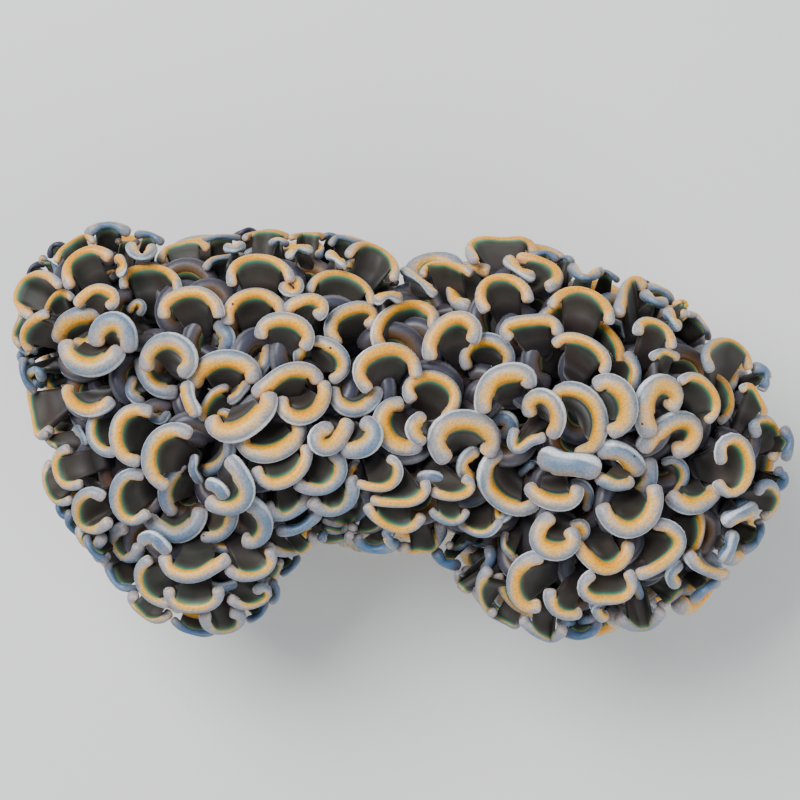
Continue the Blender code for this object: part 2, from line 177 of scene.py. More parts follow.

# %% [markdown]
# ## Hammers seen in the photograph
#
# The hammers are the character of this coral, so those that the photograph shows are listed one by one. Each
# was looked at enlarged, and a few pixels were noted along its sausage, from one end to the other.

# %% Seen hammers
# Each hammer: pixels x, y along it, its width in pixels, its layer from the top, and its tone, where -1 is
# the most golden and 1 the bluest.
SEEN_HAMMERS = (
    # The left lobe: its rim, from the top to the left and down.
    ((88, 230, 99, 224, 114, 225, 127, 232), 15, 0, 0.7),
    ((57, 261, 62, 250, 74, 241, 85, 236, 93, 241), 10, 0, 0.0),
    ((47, 252, 50, 243, 62, 244), 9, 2, 0.9),
    ((38, 256, 50, 261, 57, 270, 58, 281), 12, 1, 0.8),
    ((59, 285, 42, 272, 21, 282, 14, 299, 30, 316), 12, 0, -0.3),
    ((22, 277, 25, 268, 37, 259), 9, 2, 0.8),
    ((24, 316, 16, 328, 14, 345), 8, 1, 0.5),
    ((18, 362, 17, 378, 21, 395), 8, 1, -0.1),
    ((29, 348, 23, 335, 31, 321, 46, 314), 11, 0, -0.3),
    ((20, 344, 26, 353, 35, 351), 8, 1, 0.5),
    ((19, 354, 23, 363, 32, 362), 9, 1, 0.7),
    ((28, 376, 36, 369, 42, 377), 11, 0, 0.2),
    ((35, 381, 42, 387, 51, 384), 9, 1, 0.6),
    ((34, 385, 25, 391, 21, 408, 27, 429, 39, 439, 50, 430), 12, 0, -0.1),
    ((61, 414, 54, 417, 50, 424), 7, 1, 0.4),
    ((67, 449, 57, 455, 56, 472, 65, 486, 80, 484), 11, 0, -0.2),
    ((45, 434, 50, 443, 59, 447), 9, 1, 0.6),
    ((50, 463, 45, 476, 48, 492, 59, 503, 70, 500), 10, 0, 0.4),
    ((48, 508, 51, 521, 60, 523), 8, 1, 0.8),
    ((70, 512, 66, 530, 72, 545), 9, 1, 0.7),
    ((79, 545, 86, 558, 96, 568), 8, 1, 0.5),
    ((80, 530, 84, 543, 95, 547, 102, 538), 13, 0, 0.2),
    ((93, 553, 99, 560, 106, 556), 12, 0, -0.2),
    ((104, 566, 102, 575, 118, 587, 137, 589), 10, 0, 0.1),
    ((130, 599, 126, 609, 140, 616, 158, 620, 168, 614), 13, 0, 0.2),
    ((174, 620, 183, 629, 200, 634, 215, 634), 9, 1, 0.8),
    ((205, 615, 207, 626, 221, 631, 238, 626, 243, 614, 233, 612), 14, 0, 0.5),
    ((265, 604, 261, 614, 250, 620), 8, 1, 0.4),
    ((273, 582, 278, 592, 273, 602), 9, 1, 0.8),
    # The left lobe: its upper part.
    ((138, 235, 150, 234, 161, 242), 12, 1, 0.7),
    ((131, 247, 136, 256, 147, 257, 152, 249), 15, 0, 0.9),
    ((70, 285, 66, 268, 77, 254, 94, 249, 109, 257), 15, 0, -0.4),
    ((119, 259, 124, 266, 121, 273), 13, 0, -0.3),
    ((124, 261, 131, 266, 138, 262), 8, 2, 0.8),
    ((118, 241, 127, 246, 137, 242), 9, 2, 0.8),
    ((60, 263, 68, 258, 76, 263), 8, 2, 0.8),
    ((106, 279, 111, 272, 121, 276, 125, 288, 130, 296), 11, 1, -0.2),
    ((124, 286, 124, 274, 141, 267, 165, 269, 177, 280, 178, 290), 12, 0, -0.2),
    ((130, 310, 138, 301, 144, 307, 140, 313), 9, 1, 0.2),
    ((161, 260, 166, 250, 180, 245, 195, 242, 207, 248), 13, 0, 0.1),
    ((164, 315, 165, 303, 180, 293, 200, 291, 214, 300, 219, 314), 15, 0, -0.2),
    ((110, 306, 117, 297, 106, 289, 93, 289, 78, 303), 13, 0, -0.6),
    ((72, 298, 63, 291, 53, 297, 48, 310), 8, 0, -0.6),
    ((60, 336, 66, 322, 82, 314, 98, 314), 19, 1, -0.2),
    ((97, 341, 99, 328, 113, 319, 127, 327, 129, 347), 18, 0, 0.7),
    ((78, 343, 88, 345, 97, 338), 13, 1, -0.2),
    ((67, 345, 70, 358, 84, 368, 104, 366, 118, 352), 19, 0, 0.1),
    ((147, 366, 150, 349, 168, 338, 187, 347, 193, 361, 184, 372), 17, 0, 0.2),
    ((141, 362, 146, 379, 158, 391, 174, 392), 15, 1, 0.3),
    ((69, 357, 57, 365, 50, 380, 56, 391), 13, 1, -0.5),
    ((228, 248, 235, 250, 241, 246), 13, 0, 0.9),
    ((204, 240, 220, 236, 238, 238), 9, 1, 0.2),
    ((206, 268, 212, 260, 226, 257, 243, 257), 11, 1, 0.4),
    ((232, 283, 231, 268, 245, 258, 265, 257, 283, 265, 290, 279), 13, 0, -0.1),
    ((228, 321, 230, 305, 243, 295, 258, 292, 274, 299, 283, 313), 15, 0, -0.3),
    ((219, 326, 229, 337, 224, 350), 14, 1, 1.0),
    ((254, 379, 252, 368, 238, 359, 218, 358, 203, 367, 195, 382), 19, 0, 0.1),
    # The left lobe: its middle.
    ((68, 390, 73, 404, 87, 412, 101, 409, 110, 402), 15, 0, -0.7),
    ((99, 413, 91, 424, 92, 440, 102, 451, 113, 452), 12, 0, 0.8),
    ((77, 429, 81, 434, 86, 441), 10, 1, 1.0),
    ((149, 412, 131, 409, 118, 420, 115, 441, 123, 457, 137, 461), 14, 0, -0.1),
    ((133, 381, 130, 393, 140, 402), 13, 1, 0.9),
    ((152, 417, 161, 421, 167, 415), 10, 1, 0.9),
    ((188, 433, 173, 428, 155, 438, 147, 457, 152, 475, 164, 485), 15, 0, 0.1),
    ((163, 404, 174, 408, 172, 421), 9, 2, -0.4),
    ((187, 387, 190, 401, 196, 412), 15, 0, -0.2),
    ((183, 464, 171, 474, 164, 490, 166, 502, 172, 511), 14, 1, 0.6),
    ((195, 458, 193, 470, 199, 480), 10, 1, 0.7),
    ((141, 475, 126, 473, 115, 486, 115, 505, 124, 520, 138, 521, 146, 514), 13, 0, 0.2),
    ((102, 496, 90, 490, 78, 497, 75, 514, 84, 528, 99, 530, 108, 522), 13, 0, -0.1),
    ((124, 528, 114, 531, 114, 543, 124, 558, 136, 557, 139, 547), 15, 0, 0.7),
    ((143, 540, 153, 536, 166, 549), 14, 0, 1.0),
    ((150, 520, 163, 529, 176, 537, 195, 527, 200, 512), 17, 1, 0.9),
    ((149, 560, 139, 568, 139, 583, 149, 597, 166, 603), 12, 0, 0.1),
    ((165, 558, 169, 570, 184, 577, 201, 575, 214, 566, 226, 559), 15, 0, -0.1),
    ((169, 591, 172, 602, 186, 608, 204, 608, 218, 601, 218, 590), 13, 0, -0.1),
    ((207, 585, 220, 587, 235, 584), 12, 1, 0.8),
    ((226, 388, 213, 393, 204, 407, 203, 418), 10, 1, -0.1),
    ((246, 385, 238, 396, 232, 400), 12, 1, 0.1),
    ((217, 414, 224, 412, 232, 416), 11, 1, 0.0),
    ((213, 422, 222, 434, 241, 432, 260, 418, 270, 403, 269, 398), 19, 0, -0.2),
    ((230, 444, 228, 457, 216, 468, 201, 470), 14, 1, 0.4),
    ((231, 461, 242, 475, 250, 492, 240, 507, 222, 508, 211, 502), 17, 0, 0.4),
    ((211, 484, 219, 487, 224, 494), 14, 0, 0.9),
    ((233, 512, 230, 526, 219, 536, 205, 537), 13, 1, 0.0),
    ((241, 530, 236, 543, 224, 549, 211, 544), 10, 1, 0.1),
    ((249, 503, 262, 511, 267, 527, 259, 540, 247, 540), 18, 0, 0.5),
    ((229, 569, 242, 577, 262, 574, 272, 562, 270, 551), 13, 0, -0.1),
    ((257, 590, 264, 584, 270, 592, 262, 602, 245, 606, 231, 599), 12, 0, 0.1),
    ((280, 562, 277, 573, 268, 580), 9, 1, 0.5),
    ((283, 573, 293, 567, 297, 558), 9, 1, 0.0),
    # The neck between the lobes: its upper rim.
    ((245, 238, 258, 233, 272, 231, 287, 237), 10, 1, 0.5),
    ((236, 236, 250, 228, 258, 232), 8, 2, 0.8),
    ((272, 243, 279, 239, 286, 244), 10, 0, 0.0),
    ((247, 254, 258, 248, 270, 247, 281, 253), 10, 1, 0.4),
    ((289, 256, 297, 247, 309, 250), 12, 0, -0.4),
    ((316, 244, 322, 249, 319, 255), 12, 0, 0.0),
    ((291, 238, 305, 234, 322, 236), 8, 1, 0.1),
    ((322, 238, 330, 234, 337, 239), 10, 1, 0.8),
    ((331, 244, 337, 237, 348, 239, 360, 244), 10, 1, 0.3),
    ((349, 254, 356, 246, 373, 246, 390, 257, 396, 270, 394, 278), 13, 0, 0.3),
    ((330, 255, 336, 258, 341, 264), 13, 0, -0.3),
    ((347, 268, 353, 261, 362, 268), 13, 1, 0.8),
    ((377, 300, 388, 295, 398, 298), 13, 0, 0.2),
    ((378, 278, 386, 285, 396, 282), 9, 2, 0.9),
    ((404, 271, 414, 276, 424, 284, 434, 294), 12, 0, 0.5),
    ((423, 275, 428, 266, 441, 263, 456, 266, 470, 273), 12, 0, 0.4),
    # The neck between the lobes: its middle.
    ((310, 290, 315, 279, 332, 272, 352, 276, 367, 288, 372, 303), 12, 0, 0.3),
    ((284, 287, 291, 294, 300, 290, 296, 281), 14, 0, 0.0),
    ((289, 308, 302, 300, 317, 299, 325, 308, 318, 315), 15, 0, -0.1),
    ((261, 335, 264, 323, 280, 318, 299, 322, 310, 335, 305, 346), 15, 0, -0.1),
    ((303, 346, 299, 352, 298, 359), 10, 1, -0.1),
    ((268, 350, 266, 362, 258, 374), 14, 1, 0.2),
    ((336, 343, 329, 330, 332, 317, 350, 308, 366, 306, 375, 315, 370, 325), 16, 0, 0.0),
    ((381, 348, 374, 335, 380, 318, 395, 307, 415, 303, 430, 308, 437, 318, 433, 327), 16, 0, -0.5),
    ((367, 388, 357, 375, 358, 362, 372, 352, 395, 347, 411, 357, 416, 374), 15, 0, -0.5),
    ((316, 341, 330, 345, 343, 355, 345, 370, 333, 379), 12, 0, 0.1),
    ((257, 393, 268, 384, 280, 373, 297, 368, 311, 371, 317, 379), 16, 0, 0.0),
    ((282, 401, 284, 413, 296, 420, 312, 416, 323, 403, 324, 385), 15, 0, -0.3),
    ((242, 438, 247, 451, 265, 456, 286, 449, 299, 436, 299, 425), 16, 0, -0.1),
    ((257, 470, 263, 482, 278, 485, 295, 477, 306, 462, 306, 448), 13, 0, -0.4),
    ((328, 429, 314, 434, 317, 448, 332, 448, 341, 435, 347, 424), 17, 0, -0.2),
    ((334, 391, 338, 405, 354, 412, 371, 404, 377, 391), 14, 0, 0.3),
    ((346, 449, 360, 450, 372, 443, 376, 431, 366, 423), 17, 0, 0.7),
    ((399, 404, 385, 408, 379, 422, 385, 438, 400, 448, 417, 445), 17, 0, -0.1),
    ((334, 455, 342, 464, 340, 478, 327, 489, 311, 489, 298, 484), 14, 0, 0.4),
    ((390, 459, 399, 465, 398, 479, 386, 488, 370, 486, 360, 484), 10, 0, -0.5),
    ((356, 461, 351, 468, 347, 477), 8, 1, -0.5),
    ((313, 502, 325, 511, 342, 509, 353, 497, 351, 479), 15, 0, 0.8),
    ((364, 492, 369, 503, 360, 517, 343, 524, 325, 519), 11, 1, 0.8),
    ((425, 483, 426, 493, 414, 502, 395, 503, 374, 500), 11, 0, -0.7),
    ((421, 417, 412, 425, 413, 434, 421, 441), 13, 0, -0.1),
    ((411, 399, 405, 388, 414, 378, 432, 374, 450, 382, 458, 397, 447, 417), 16, 0, 0.0),
    # The neck between the lobes: its lower rim.
    ((268, 507, 278, 516, 292, 513, 306, 499), 16, 0, 0.8),
    ((280, 530, 293, 531, 308, 524, 317, 514), 13, 0, 0.4),
    ((268, 546, 281, 553, 299, 552, 312, 542, 312, 534), 12, 0, 0.5),
    ((319, 523, 325, 531, 322, 538), 11, 1, 1.0),
    ((322, 526, 335, 532, 348, 527), 10, 1, 0.9),
    ((324, 539, 337, 541, 350, 535), 10, 1, 0.8),
    ((352, 527, 363, 531, 375, 530, 385, 522), 10, 1, 0.3),
    ((357, 537, 362, 548, 376, 552, 392, 546), 13, 0, 0.9),
    ((388, 533, 389, 541, 396, 545), 13, 0, -0.1),
    ((368, 507, 376, 518, 392, 528, 410, 529, 421, 517), 12, 0, -0.8),
    ((402, 549, 418, 549, 433, 549, 440, 538, 440, 524), 14, 0, -0.3),
    ((422, 478, 434, 476, 442, 483, 436, 490), 14, 1, 0.5),
    ((465, 479, 473, 485, 468, 493, 452, 497, 434, 492), 11, 0, -0.6),
    ((432, 511, 444, 521, 458, 522, 466, 512), 9, 0, 0.5),
    ((461, 524, 475, 533, 490, 533, 499, 522), 9, 0, 0.5),
    ((449, 545, 459, 548, 470, 541), 9, 1, 0.6),
    ((493, 508, 500, 520, 508, 514), 12, 0, 0.6),
    ((470, 539, 480, 545, 492, 541), 9, 1, 0.9),
    ((505, 535, 505, 548, 515, 558), 9, 1, 0.7),
    ((437, 553, 443, 563, 456, 565), 13, 0, 1.0),
    ((466, 571, 482, 571, 491, 560, 490, 550), 13, 1, 1.0),
    ((458, 575, 460, 585, 467, 590), 11, 1, 0.6),
    # The right lobe: its upper rim.
    ((474, 260, 467, 249, 476, 240, 490, 239, 503, 242, 518, 239, 531, 243, 534, 252), 16, 0, 0.5),
    ((487, 271, 473, 269, 457, 276, 449, 290, 457, 304, 467, 306), 18, 0, 0.5),
    ((485, 309, 479, 296, 484, 282, 500, 276, 517, 281, 527, 292, 528, 299), 15, 0, -0.4),
    ((509, 261, 518, 270, 530, 277), 16, 0, 0.0),
    ((521, 259, 538, 261, 554, 267, 560, 280, 549, 287), 17, 0, -0.3),
    ((531, 256, 546, 252, 556, 259), 11, 1, 0.8),
    ((553, 262, 563, 257, 573, 259), 9, 1, 0.6),
    ((572, 267, 579, 276, 592, 277, 600, 269), 15, 0, 0.6),
    ((552, 305, 562, 293, 580, 289, 599, 297, 609, 311, 609, 321), 14, 0, -0.5),
    ((595, 275, 606, 271, 617, 280), 9, 1, -0.1),
    ((643, 283, 634, 279, 624, 287, 621, 300, 619, 313), 17, 0, 0.8),
    ((636, 277, 648, 275, 660, 281), 11, 2, 1.1),
    ((649, 284, 660, 289, 675, 294), 12, 0, -0.1),
    ((645, 295, 655, 301, 663, 303), 15, 0, 0.9),
    ((684, 294, 686, 305, 683, 314), 13, 0, 0.0),
    ((668, 313, 672, 318, 676, 326), 15, 0, -0.2),
    ((690, 312, 700, 319, 707, 330, 708, 338), 9, 0, -0.6),
    ((710, 369, 703, 352, 713, 341, 730, 340, 744, 350, 748, 367), 13, 0, 0.4),
    ((757, 366, 769, 372, 762, 388), 15, 0, 1.2),
    ((742, 389, 750, 385, 758, 397, 764, 412), 10, 0, -0.5),
    ((784, 430, 791, 441, 786, 457), 12, 1, 0.0),
    ((778, 471, 786, 478, 781, 488), 12, 1, 1.1),
    # The right lobe: its upper part.
    ((542, 317, 553, 308, 567, 307, 580, 317), 13, 1, 0.4),
    ((509, 337, 501, 328, 512, 322, 530, 320, 548, 319, 557, 325, 558, 332), 14, 0, 0.0),
    ((430, 356, 430, 341, 438, 327, 452, 317, 467, 317, 477, 328, 473, 339), 17, 0, -0.2),
    ((467, 366, 464, 352, 473, 341, 490, 338, 506, 346, 510, 358, 508, 366), 13, 0, 0.0),
    ((571, 327, 580, 320, 597, 322, 613, 334, 622, 352, 618, 371), 13, 1, -0.5),
    ((556, 343, 566, 337, 582, 339, 598, 347, 607, 361, 604, 371), 13, 0, -0.2),
    ((612, 322, 622, 325, 626, 335), 11, 1, 0.6),
    ((638, 332, 640, 322, 654, 321, 667, 330, 671, 346), 14, 0, 0.3),
    ((628, 356, 636, 370, 633, 388), 13, 1, 0.4),
    ((652, 357, 663, 351, 676, 357), 10, 0, 0.8),
    ((483, 408, 484, 392, 491, 378, 510, 371, 529, 373, 529, 383), 18, 0, -0.3),
    # The right lobe: its middle.
    ((444, 457, 434, 444, 437, 427, 452, 419, 472, 418, 490, 428, 495, 441, 488, 451), 20, 0, 0.0),
    ((463, 447, 459, 456, 449, 460), 8, 1, -0.2),
    ((530, 412, 529, 400, 541, 393, 555, 402, 560, 418, 553, 433), 16, 0, -0.2),
    ((554, 402, 553, 392, 568, 386, 586, 391, 599, 405, 603, 424, 597, 444, 580, 453), 15, 0, -0.4),
    ((598, 384, 607, 380, 622, 388, 630, 403, 627, 421, 613, 431), 17, 0, -0.1),
    ((494, 419, 508, 417, 513, 427, 504, 433), 15, 1, 0.6),
    ((515, 431, 511, 446, 519, 451, 530, 441, 543, 437), 11, 0, 0.2),
    ((547, 458, 562, 463, 580, 464, 592, 468), 25, 0, 0.7),
    ((522, 473, 530, 465, 538, 460), 9, 1, 1.2),
    ((530, 488, 541, 499, 557, 504, 574, 501, 577, 489), 15, 0, -0.2),
    ((572, 484, 582, 482, 590, 494, 586, 508), 9, 1, 0.2),
    ((498, 454, 486, 463, 482, 479, 490, 494, 505, 506, 522, 511, 534, 505), 15, 0, -0.2),
    ((474, 452, 463, 459, 462, 471, 470, 477), 14, 0, -0.5),
    ((648, 430, 642, 412, 645, 394, 657, 381, 671, 385, 676, 398, 671, 405), 21, 0, -0.2),
    ((644, 446, 655, 432, 672, 419, 690, 418, 697, 431, 690, 446, 677, 450), 20, 0, -0.4),
    ((681, 381, 692, 375, 708, 384, 717, 400, 716, 412, 708, 420), 11, 0, -0.1),
    ((712, 376, 725, 382, 732, 397, 730, 412, 720, 421), 10, 1, -0.3),
    ((756, 433, 752, 421, 764, 416, 776, 428, 778, 445, 772, 458), 13, 0, 0.4),
    ((721, 460, 717, 446, 729, 434, 743, 439, 751, 458, 748, 480, 736, 495, 721, 494, 718, 484), 14, 0, -0.2),
    ((664, 462, 676, 459, 686, 470, 683, 484, 672, 494), 9, 1, 0.3),
    ((603, 449, 619, 450, 631, 459, 636, 468), 21, 0, 0.0),
    ((648, 462, 650, 480, 638, 495), 17, 1, 0.3),
    ((600, 478, 615, 485, 629, 482), 14, 0, 0.5),
    ((604, 459, 612, 464, 622, 460), 9, 2, 0.6),
    ((584, 479, 591, 485, 600, 483), 9, 2, 0.6),
    ((758, 491, 764, 482, 775, 486, 777, 502, 770, 520), 12, 0, 0.3),
    # The right lobe: its lower part and lower rim.
    ((549, 518, 537, 532, 537, 546, 552, 553, 568, 551, 575, 541, 571, 532), 17, 0, 0.0),
    ((571, 527, 581, 523, 586, 531, 580, 538), 10, 1, -0.2),
    ((578, 545, 587, 558, 602, 570, 617, 566, 626, 556, 628, 545), 14, 0, -1.0),
    ((603, 508, 611, 524, 628, 532, 645, 524, 655, 508, 654, 489), 17, 0, -0.1),
    ((656, 524, 673, 527, 683, 541, 674, 555, 657, 567, 640, 574), 14, 0, -0.2),
    ((672, 497, 684, 506, 700, 505, 713, 492), 18, 0, 0.0),
    ((697, 508, 702, 525, 698, 543, 690, 553), 9, 1, -0.5),
    ((727, 520, 739, 515, 751, 509), 17, 0, 0.0),
    ((735, 505, 745, 502, 753, 508), 10, 1, 0.9),
    ((758, 522, 763, 532, 756, 544, 744, 550), 11, 0, 0.3),
    ((732, 536, 731, 548, 724, 557), 15, 0, 0.2),
    ((689, 555, 697, 566, 712, 572, 724, 574), 14, 0, -0.1),
    ((677, 565, 670, 574, 675, 583), 14, 0, 0.1),
    ((695, 598, 705, 590, 716, 582), 12, 0, 0.5),
    ((684, 585, 675, 597, 660, 605), 7, 1, 0.3),
    ((539, 557, 522, 562, 513, 576, 514, 594, 524, 605, 537, 606), 16, 0, -0.5),
    ((550, 592, 551, 605, 561, 614, 577, 613), 14, 0, -0.4),
    ((499, 576, 503, 592, 515, 607, 530, 613, 545, 612), 11, 1, -0.5),
    ((591, 575, 579, 586, 585, 598, 605, 600, 625, 598, 634, 587, 629, 574), 13, 0, -0.4),
    ((628, 574, 638, 589, 643, 604, 650, 613), 13, 1, -0.1),
    ((595, 605, 597, 612, 603, 616), 14, 0, -0.2),
    ((488, 571, 480, 582, 481, 598, 491, 609), 13, 0, 0.3),
    ((492, 612, 503, 620, 516, 624), 12, 1, 0.7),
    ((524, 620, 536, 633, 552, 639, 562, 630), 13, 0, 0.9),
    ((560, 621, 575, 623, 592, 618), 10, 1, -0.3),
    ((563, 630, 578, 637, 593, 632, 597, 623), 12, 0, 0.8),
    ((620, 618, 632, 627, 650, 626, 660, 612), 14, 0, 1.0),
)
print(len(SEEN_HAMMERS), "hammers are put in by hand")

# %% [markdown]
# ## Choosing the tentacles
#
# On the living coral the hammers lie over one another like shingles, and hardly a gap is left. The seen ones
# come first: their pixels are followed onto the canopy, and one that touches another is let down a little
# deeper. The others are guessed. Particles could scatter them, but would let them cut through one another. So
# each is tried in place, as points along its arc and its stalk, and kept if it clears those already there.

# %% Smooth lines
# A hammer's middle line has so many points, taken from a finer line.
LINE_POINTS = 25
FINE_STEPS = 8 * LINE_POINTS


def along_line(line, places, shares):
    """The points at some shares of a line whose own points have the given places."""
    return np.stack([np.interp(shares, places, line[:, axis]) for axis in range(line.shape[1])], axis=1)


def spread_evenly(line, count):
    """So many points spread evenly along a fine line."""
    gone = np.concatenate([[0], np.cumsum(np.linalg.norm(np.diff(line, axis=0), axis=1))])
    return along_line(line, gone / gone[-1], np.linspace(0, 1, count))


def even_line(points):
    """A row of points spread evenly along a smooth line through some points."""
    slopes = np.gradient(points, axis=0)
    where = np.linspace(0, len(points) - 1, FINE_STEPS)
    left = np.minimum(where.astype(int), len(points) - 2)
    t = (where - left)[:, None]
    line = ((1 + 2 * t) * (1 - t) ** 2 * points[left] + t * (1 - t) ** 2 * slopes[left]
            + t**2 * (3 - 2 * t) * points[left + 1] + t**2 * (t - 1) * slopes[left + 1])
    return spread_evenly(line, LINE_POINTS)


corner_line = even_line(np.array([[0.0, 0.0], [10.0, 0.0], [10.0, 10.0]]))
print("a smooth line round a corner has its middle at", corner_line[LINE_POINTS // 2].round(1))

# %% Stalks
# The root of a stalk: how far it sits from its crown's centre, and how low it may lie against it.
STALK_ROOT_RADIUS = 7.2
LOWEST_ROOT_Z = -0.8
FAN_HALF_WIDTH = 2.6
# The tests of clearance look this deep under the arc and under the head, and at these shares of the stalk.
ARC_TEST_DEPTH = 1.5
HEAD_TEST_DEPTH = 2.0
STALK_TEST_SHARES = (0.0, 0.35, 0.7)


def crown_of(point):
    return int(np.argmin(np.linalg.norm(CROWN_CENTRES - point, axis=1) - CROWN_RADII))


def steepness_of(outward):
    """0 where the canopy looks straight up, and 1 where it looks sideways."""
    return math.sqrt(max(0.0, 1 - outward[2] ** 2))


def give_stalk(hammer):
    """Adds the stalk's neck and root, and the points that stand for the hammer in tests of clearance."""
    head, outward, back = hammer["head"], hammer["outward"], hammer["back"]
    hammer["lateral"] = np.cross(back, outward)
    centre = CROWN_CENTRES[hammer["crown"]]
    root = centre + unit(head - centre) * STALK_ROOT_RADIUS
    root[2] = max(root[2], centre[2] + LOWEST_ROOT_Z)
    neck = head - outward * hammer["neck_depth"] - back * hammer["neck_lean"]
    hammer["root"], hammer["neck"] = root, neck
    hammer["arc"] = hammer["line"][1:-1:3]
    under_arc = hammer["line"][LINE_POINTS // 2] - outward * ARC_TEST_DEPTH
    under_head = head - outward * HEAD_TEST_DEPTH
    fan = (head + neck) / 2
    edge = hammer["lateral"] * FAN_HALF_WIDTH
    stalk = [neck + (root - neck) * share for share in STALK_TEST_SHARES]
    hammer["web"] = np.array([under_arc, under_head, fan - edge, fan, fan + edge, *stalk])
    return hammer


def least_distance(points, others):
    return np.linalg.norm(points[:, None, :] - others.reshape(-1, 3), axis=2).min()


# The places that are taken, hammer by hammer.
taken = {"head": [], "arc": [], "web": []}


def take(hammer):
    for key in taken:
        taken[key].append(hammer[key])


print("a stalk starts", STALK_ROOT_RADIUS, "mm from the middle of its crown")

# %% Seen hammers on the canopy
# How deep a hammer's line lies under the canopy, and how much deeper it lies with each layer.
SEEN_INSET = 2.4
LAYER_DEPTH = 4.2
# How much higher its middle lies than its ends, and how far it rolls towards its back.
BACK_LIFT = 1.3
ROLL = 0.25
SMOOTHINGS = 3
# The far slope of the colony is this much more golden than its top, and the near slope bluer.
SLOPE_TONE = 1.1
# Hammers on the outline stand out this much farther than the others.
RIM_REACH = 1.2
# Hammers on the far slope are thinner by this share, and no hammer is read as thinner than these pixels.
FAR_THINNING = 0.2
LEAST_WIDTH = 9
# How thin the middle is against the ends: at most, on the far slope, on a steep side and on the top.
MOST_WAIST = 0.45
FAR_WAIST, STEEP_WAIST, TOP_WAIST = 0.6, 0.5, -0.1
SEEN_BULB = 0.06
SEEN_NECK_DEPTH = 8.0
SEEN_NECK_LEAN = 5.0


def trace_hammer(pixels, width, layer, tone, lower):
    """A hammer laid along the canopy under its pixels, its middle a little higher than its ends."""
    flat = even_line(np.array(pixels, float).reshape(-1, 2))
    share = np.linspace(-1, 1, LINE_POINTS)
    least = SEEN_INSET + BACK_LIFT * (share**2 - 0.5)
    line, normals = on_canopy(flat, least + LAYER_DEPTH * layer + lower, least - RIM_REACH)
    for _ in range(SMOOTHINGS):
        line[1:-1] = (line[:-2] + 2 * line[1:-1] + line[2:]) / 4
    head = line.mean(axis=0)
    outward = canopy(head[None])[1][0]
    back = head - (line[0] + line[-1]) / 2
    back = unit(back - outward * (back @ outward))
    if (line[-1] - line[0]) @ np.cross(back, outward) < 0:
        line, normals = line[::-1], normals[::-1]
    steepness = steepness_of(outward)
    far = max(0.0, outward[1])
    return give_stalk({
        "head": head, "outward": outward, "back": back, "line": line, "faces": unit(normals - ROLL * back),
        "crown": crown_of(head), "layer": layer, "tone": tone - SLOPE_TONE * outward[1],
        "thick": max(width, LEAST_WIDTH) * MM_PER_PIXEL / 2 * (1 - FAR_THINNING * far),
        "waist": min(MOST_WAIST, FAR_WAIST * far + STEEP_WAIST * steepness + TOP_WAIST), "bulb": SEEN_BULB,
        "neck_depth": SEEN_NECK_DEPTH + steepness, "neck_lean": SEEN_NECK_LEAN,
    })


traced = trace_hammer(*SEEN_HAMMERS[0], lower=0.0)
print("the first seen hammer is", round(2 * traced["thick"], 1), "mm thick")

# %% Laying the seen hammers
# Two seen hammers keep this far apart, and one that comes closer is let down by these steps, if that helps.
SEEN_GAP = 3.3
LET_DOWN_STEPS = (0.0, 0.8, 1.6, 2.4, 3.2, 4.0)


def lay_seen_hammers():
    laid = []
    for pixels, width, layer, tone in sorted(SEEN_HAMMERS, key=lambda row: row[2]):
        tries = []
        for lower in LET_DOWN_STEPS:
            hammer = trace_hammer(pixels, width, layer, tone, lower)
            gap = least_distance(hammer["arc"], np.concatenate(taken["arc"])) if laid else SEEN_GAP
            tries.append((gap, hammer))
            if gap >= SEEN_GAP:
                break
        hammer = max(tries, key=lambda entry: min(entry[0], SEEN_GAP))[1]
        laid.append(hammer)
        take(hammer)
    return laid


hammers = lay_seen_hammers()
print(len(hammers), "seen hammers lie on the canopy")

# %% Sizes of the guessed hammers
chance = np.random.default_rng(11)
# Half the angle of an arc, in degrees: its mean, how much less it is on a steep side, its spread, its ends.
SWEEP_MEAN, STEEP_SWEEP_LOSS, SWEEP_SPREAD = 108, 12, 13
LEAST_SWEEP, MOST_SWEEP = 76, 146
# The other sizes, from least to most: in millimetres, or in degrees for the tilt, or as shares.
SIZE_RANGES = {
    "length": (16.5, 21.5),
    "thick": (1.9, 2.25),
    "tilt": (40, 58),
    "curl": (0.0, 0.22),
    "bow": (-1.2, 1.2),
    "skew": (-0.12, 0.12),
    "waist": (0.0, 0.14),
    "bulb": (0.0, 0.14),
}
# On a steep side the middle of a hammer is thinner by this share.
STEEP_GUESSED_WAIST = 0.2
TONE_SPREAD = 0.5
GUESSED_NECK_DEPTH = 4.2
GUESSED_NECK_LEAN = 1.2


def draw_hammer(steepness):
    """The sizes of one hammer, in millimetres and radians."""
    sweep = chance.normal(SWEEP_MEAN - STEEP_SWEEP_LOSS * steepness, SWEEP_SPREAD)
    hammer = {size: chance.uniform(least, most) for size, (least, most) in SIZE_RANGES.items()}
    hammer["tone"] = chance.normal(0.0, TONE_SPREAD)
    hammer["sweep"] = math.radians(min(max(sweep, LEAST_SWEEP), MOST_SWEEP))
    hammer["radius"] = hammer["length"] / (2 * hammer["sweep"])
    hammer["tilt"] = math.radians(hammer["tilt"])
    hammer["waist"] += STEEP_GUESSED_WAIST * steepness
    hammer["neck_depth"], hammer["neck_lean"] = GUESSED_NECK_DEPTH, GUESSED_NECK_LEAN
    return hammer


print("an arc sweeps", 2 * SWEEP_MEAN, "degrees on the mean")

# %% Arcs of the guessed hammers
def back_direction(outward, turn):
    """The side that a hammer turns its back to: downhill, turned about the way outward."""
    slope = np.array([0.0, 0.0, -1.0]) + outward * outward[2]
    if np.linalg.norm(slope) < 1e-3:
        slope = np.array([0.0, 1.0, 0.0])
    slope = unit(slope)
    return slope * math.cos(turn) + np.cross(outward, slope) * math.sin(turn)


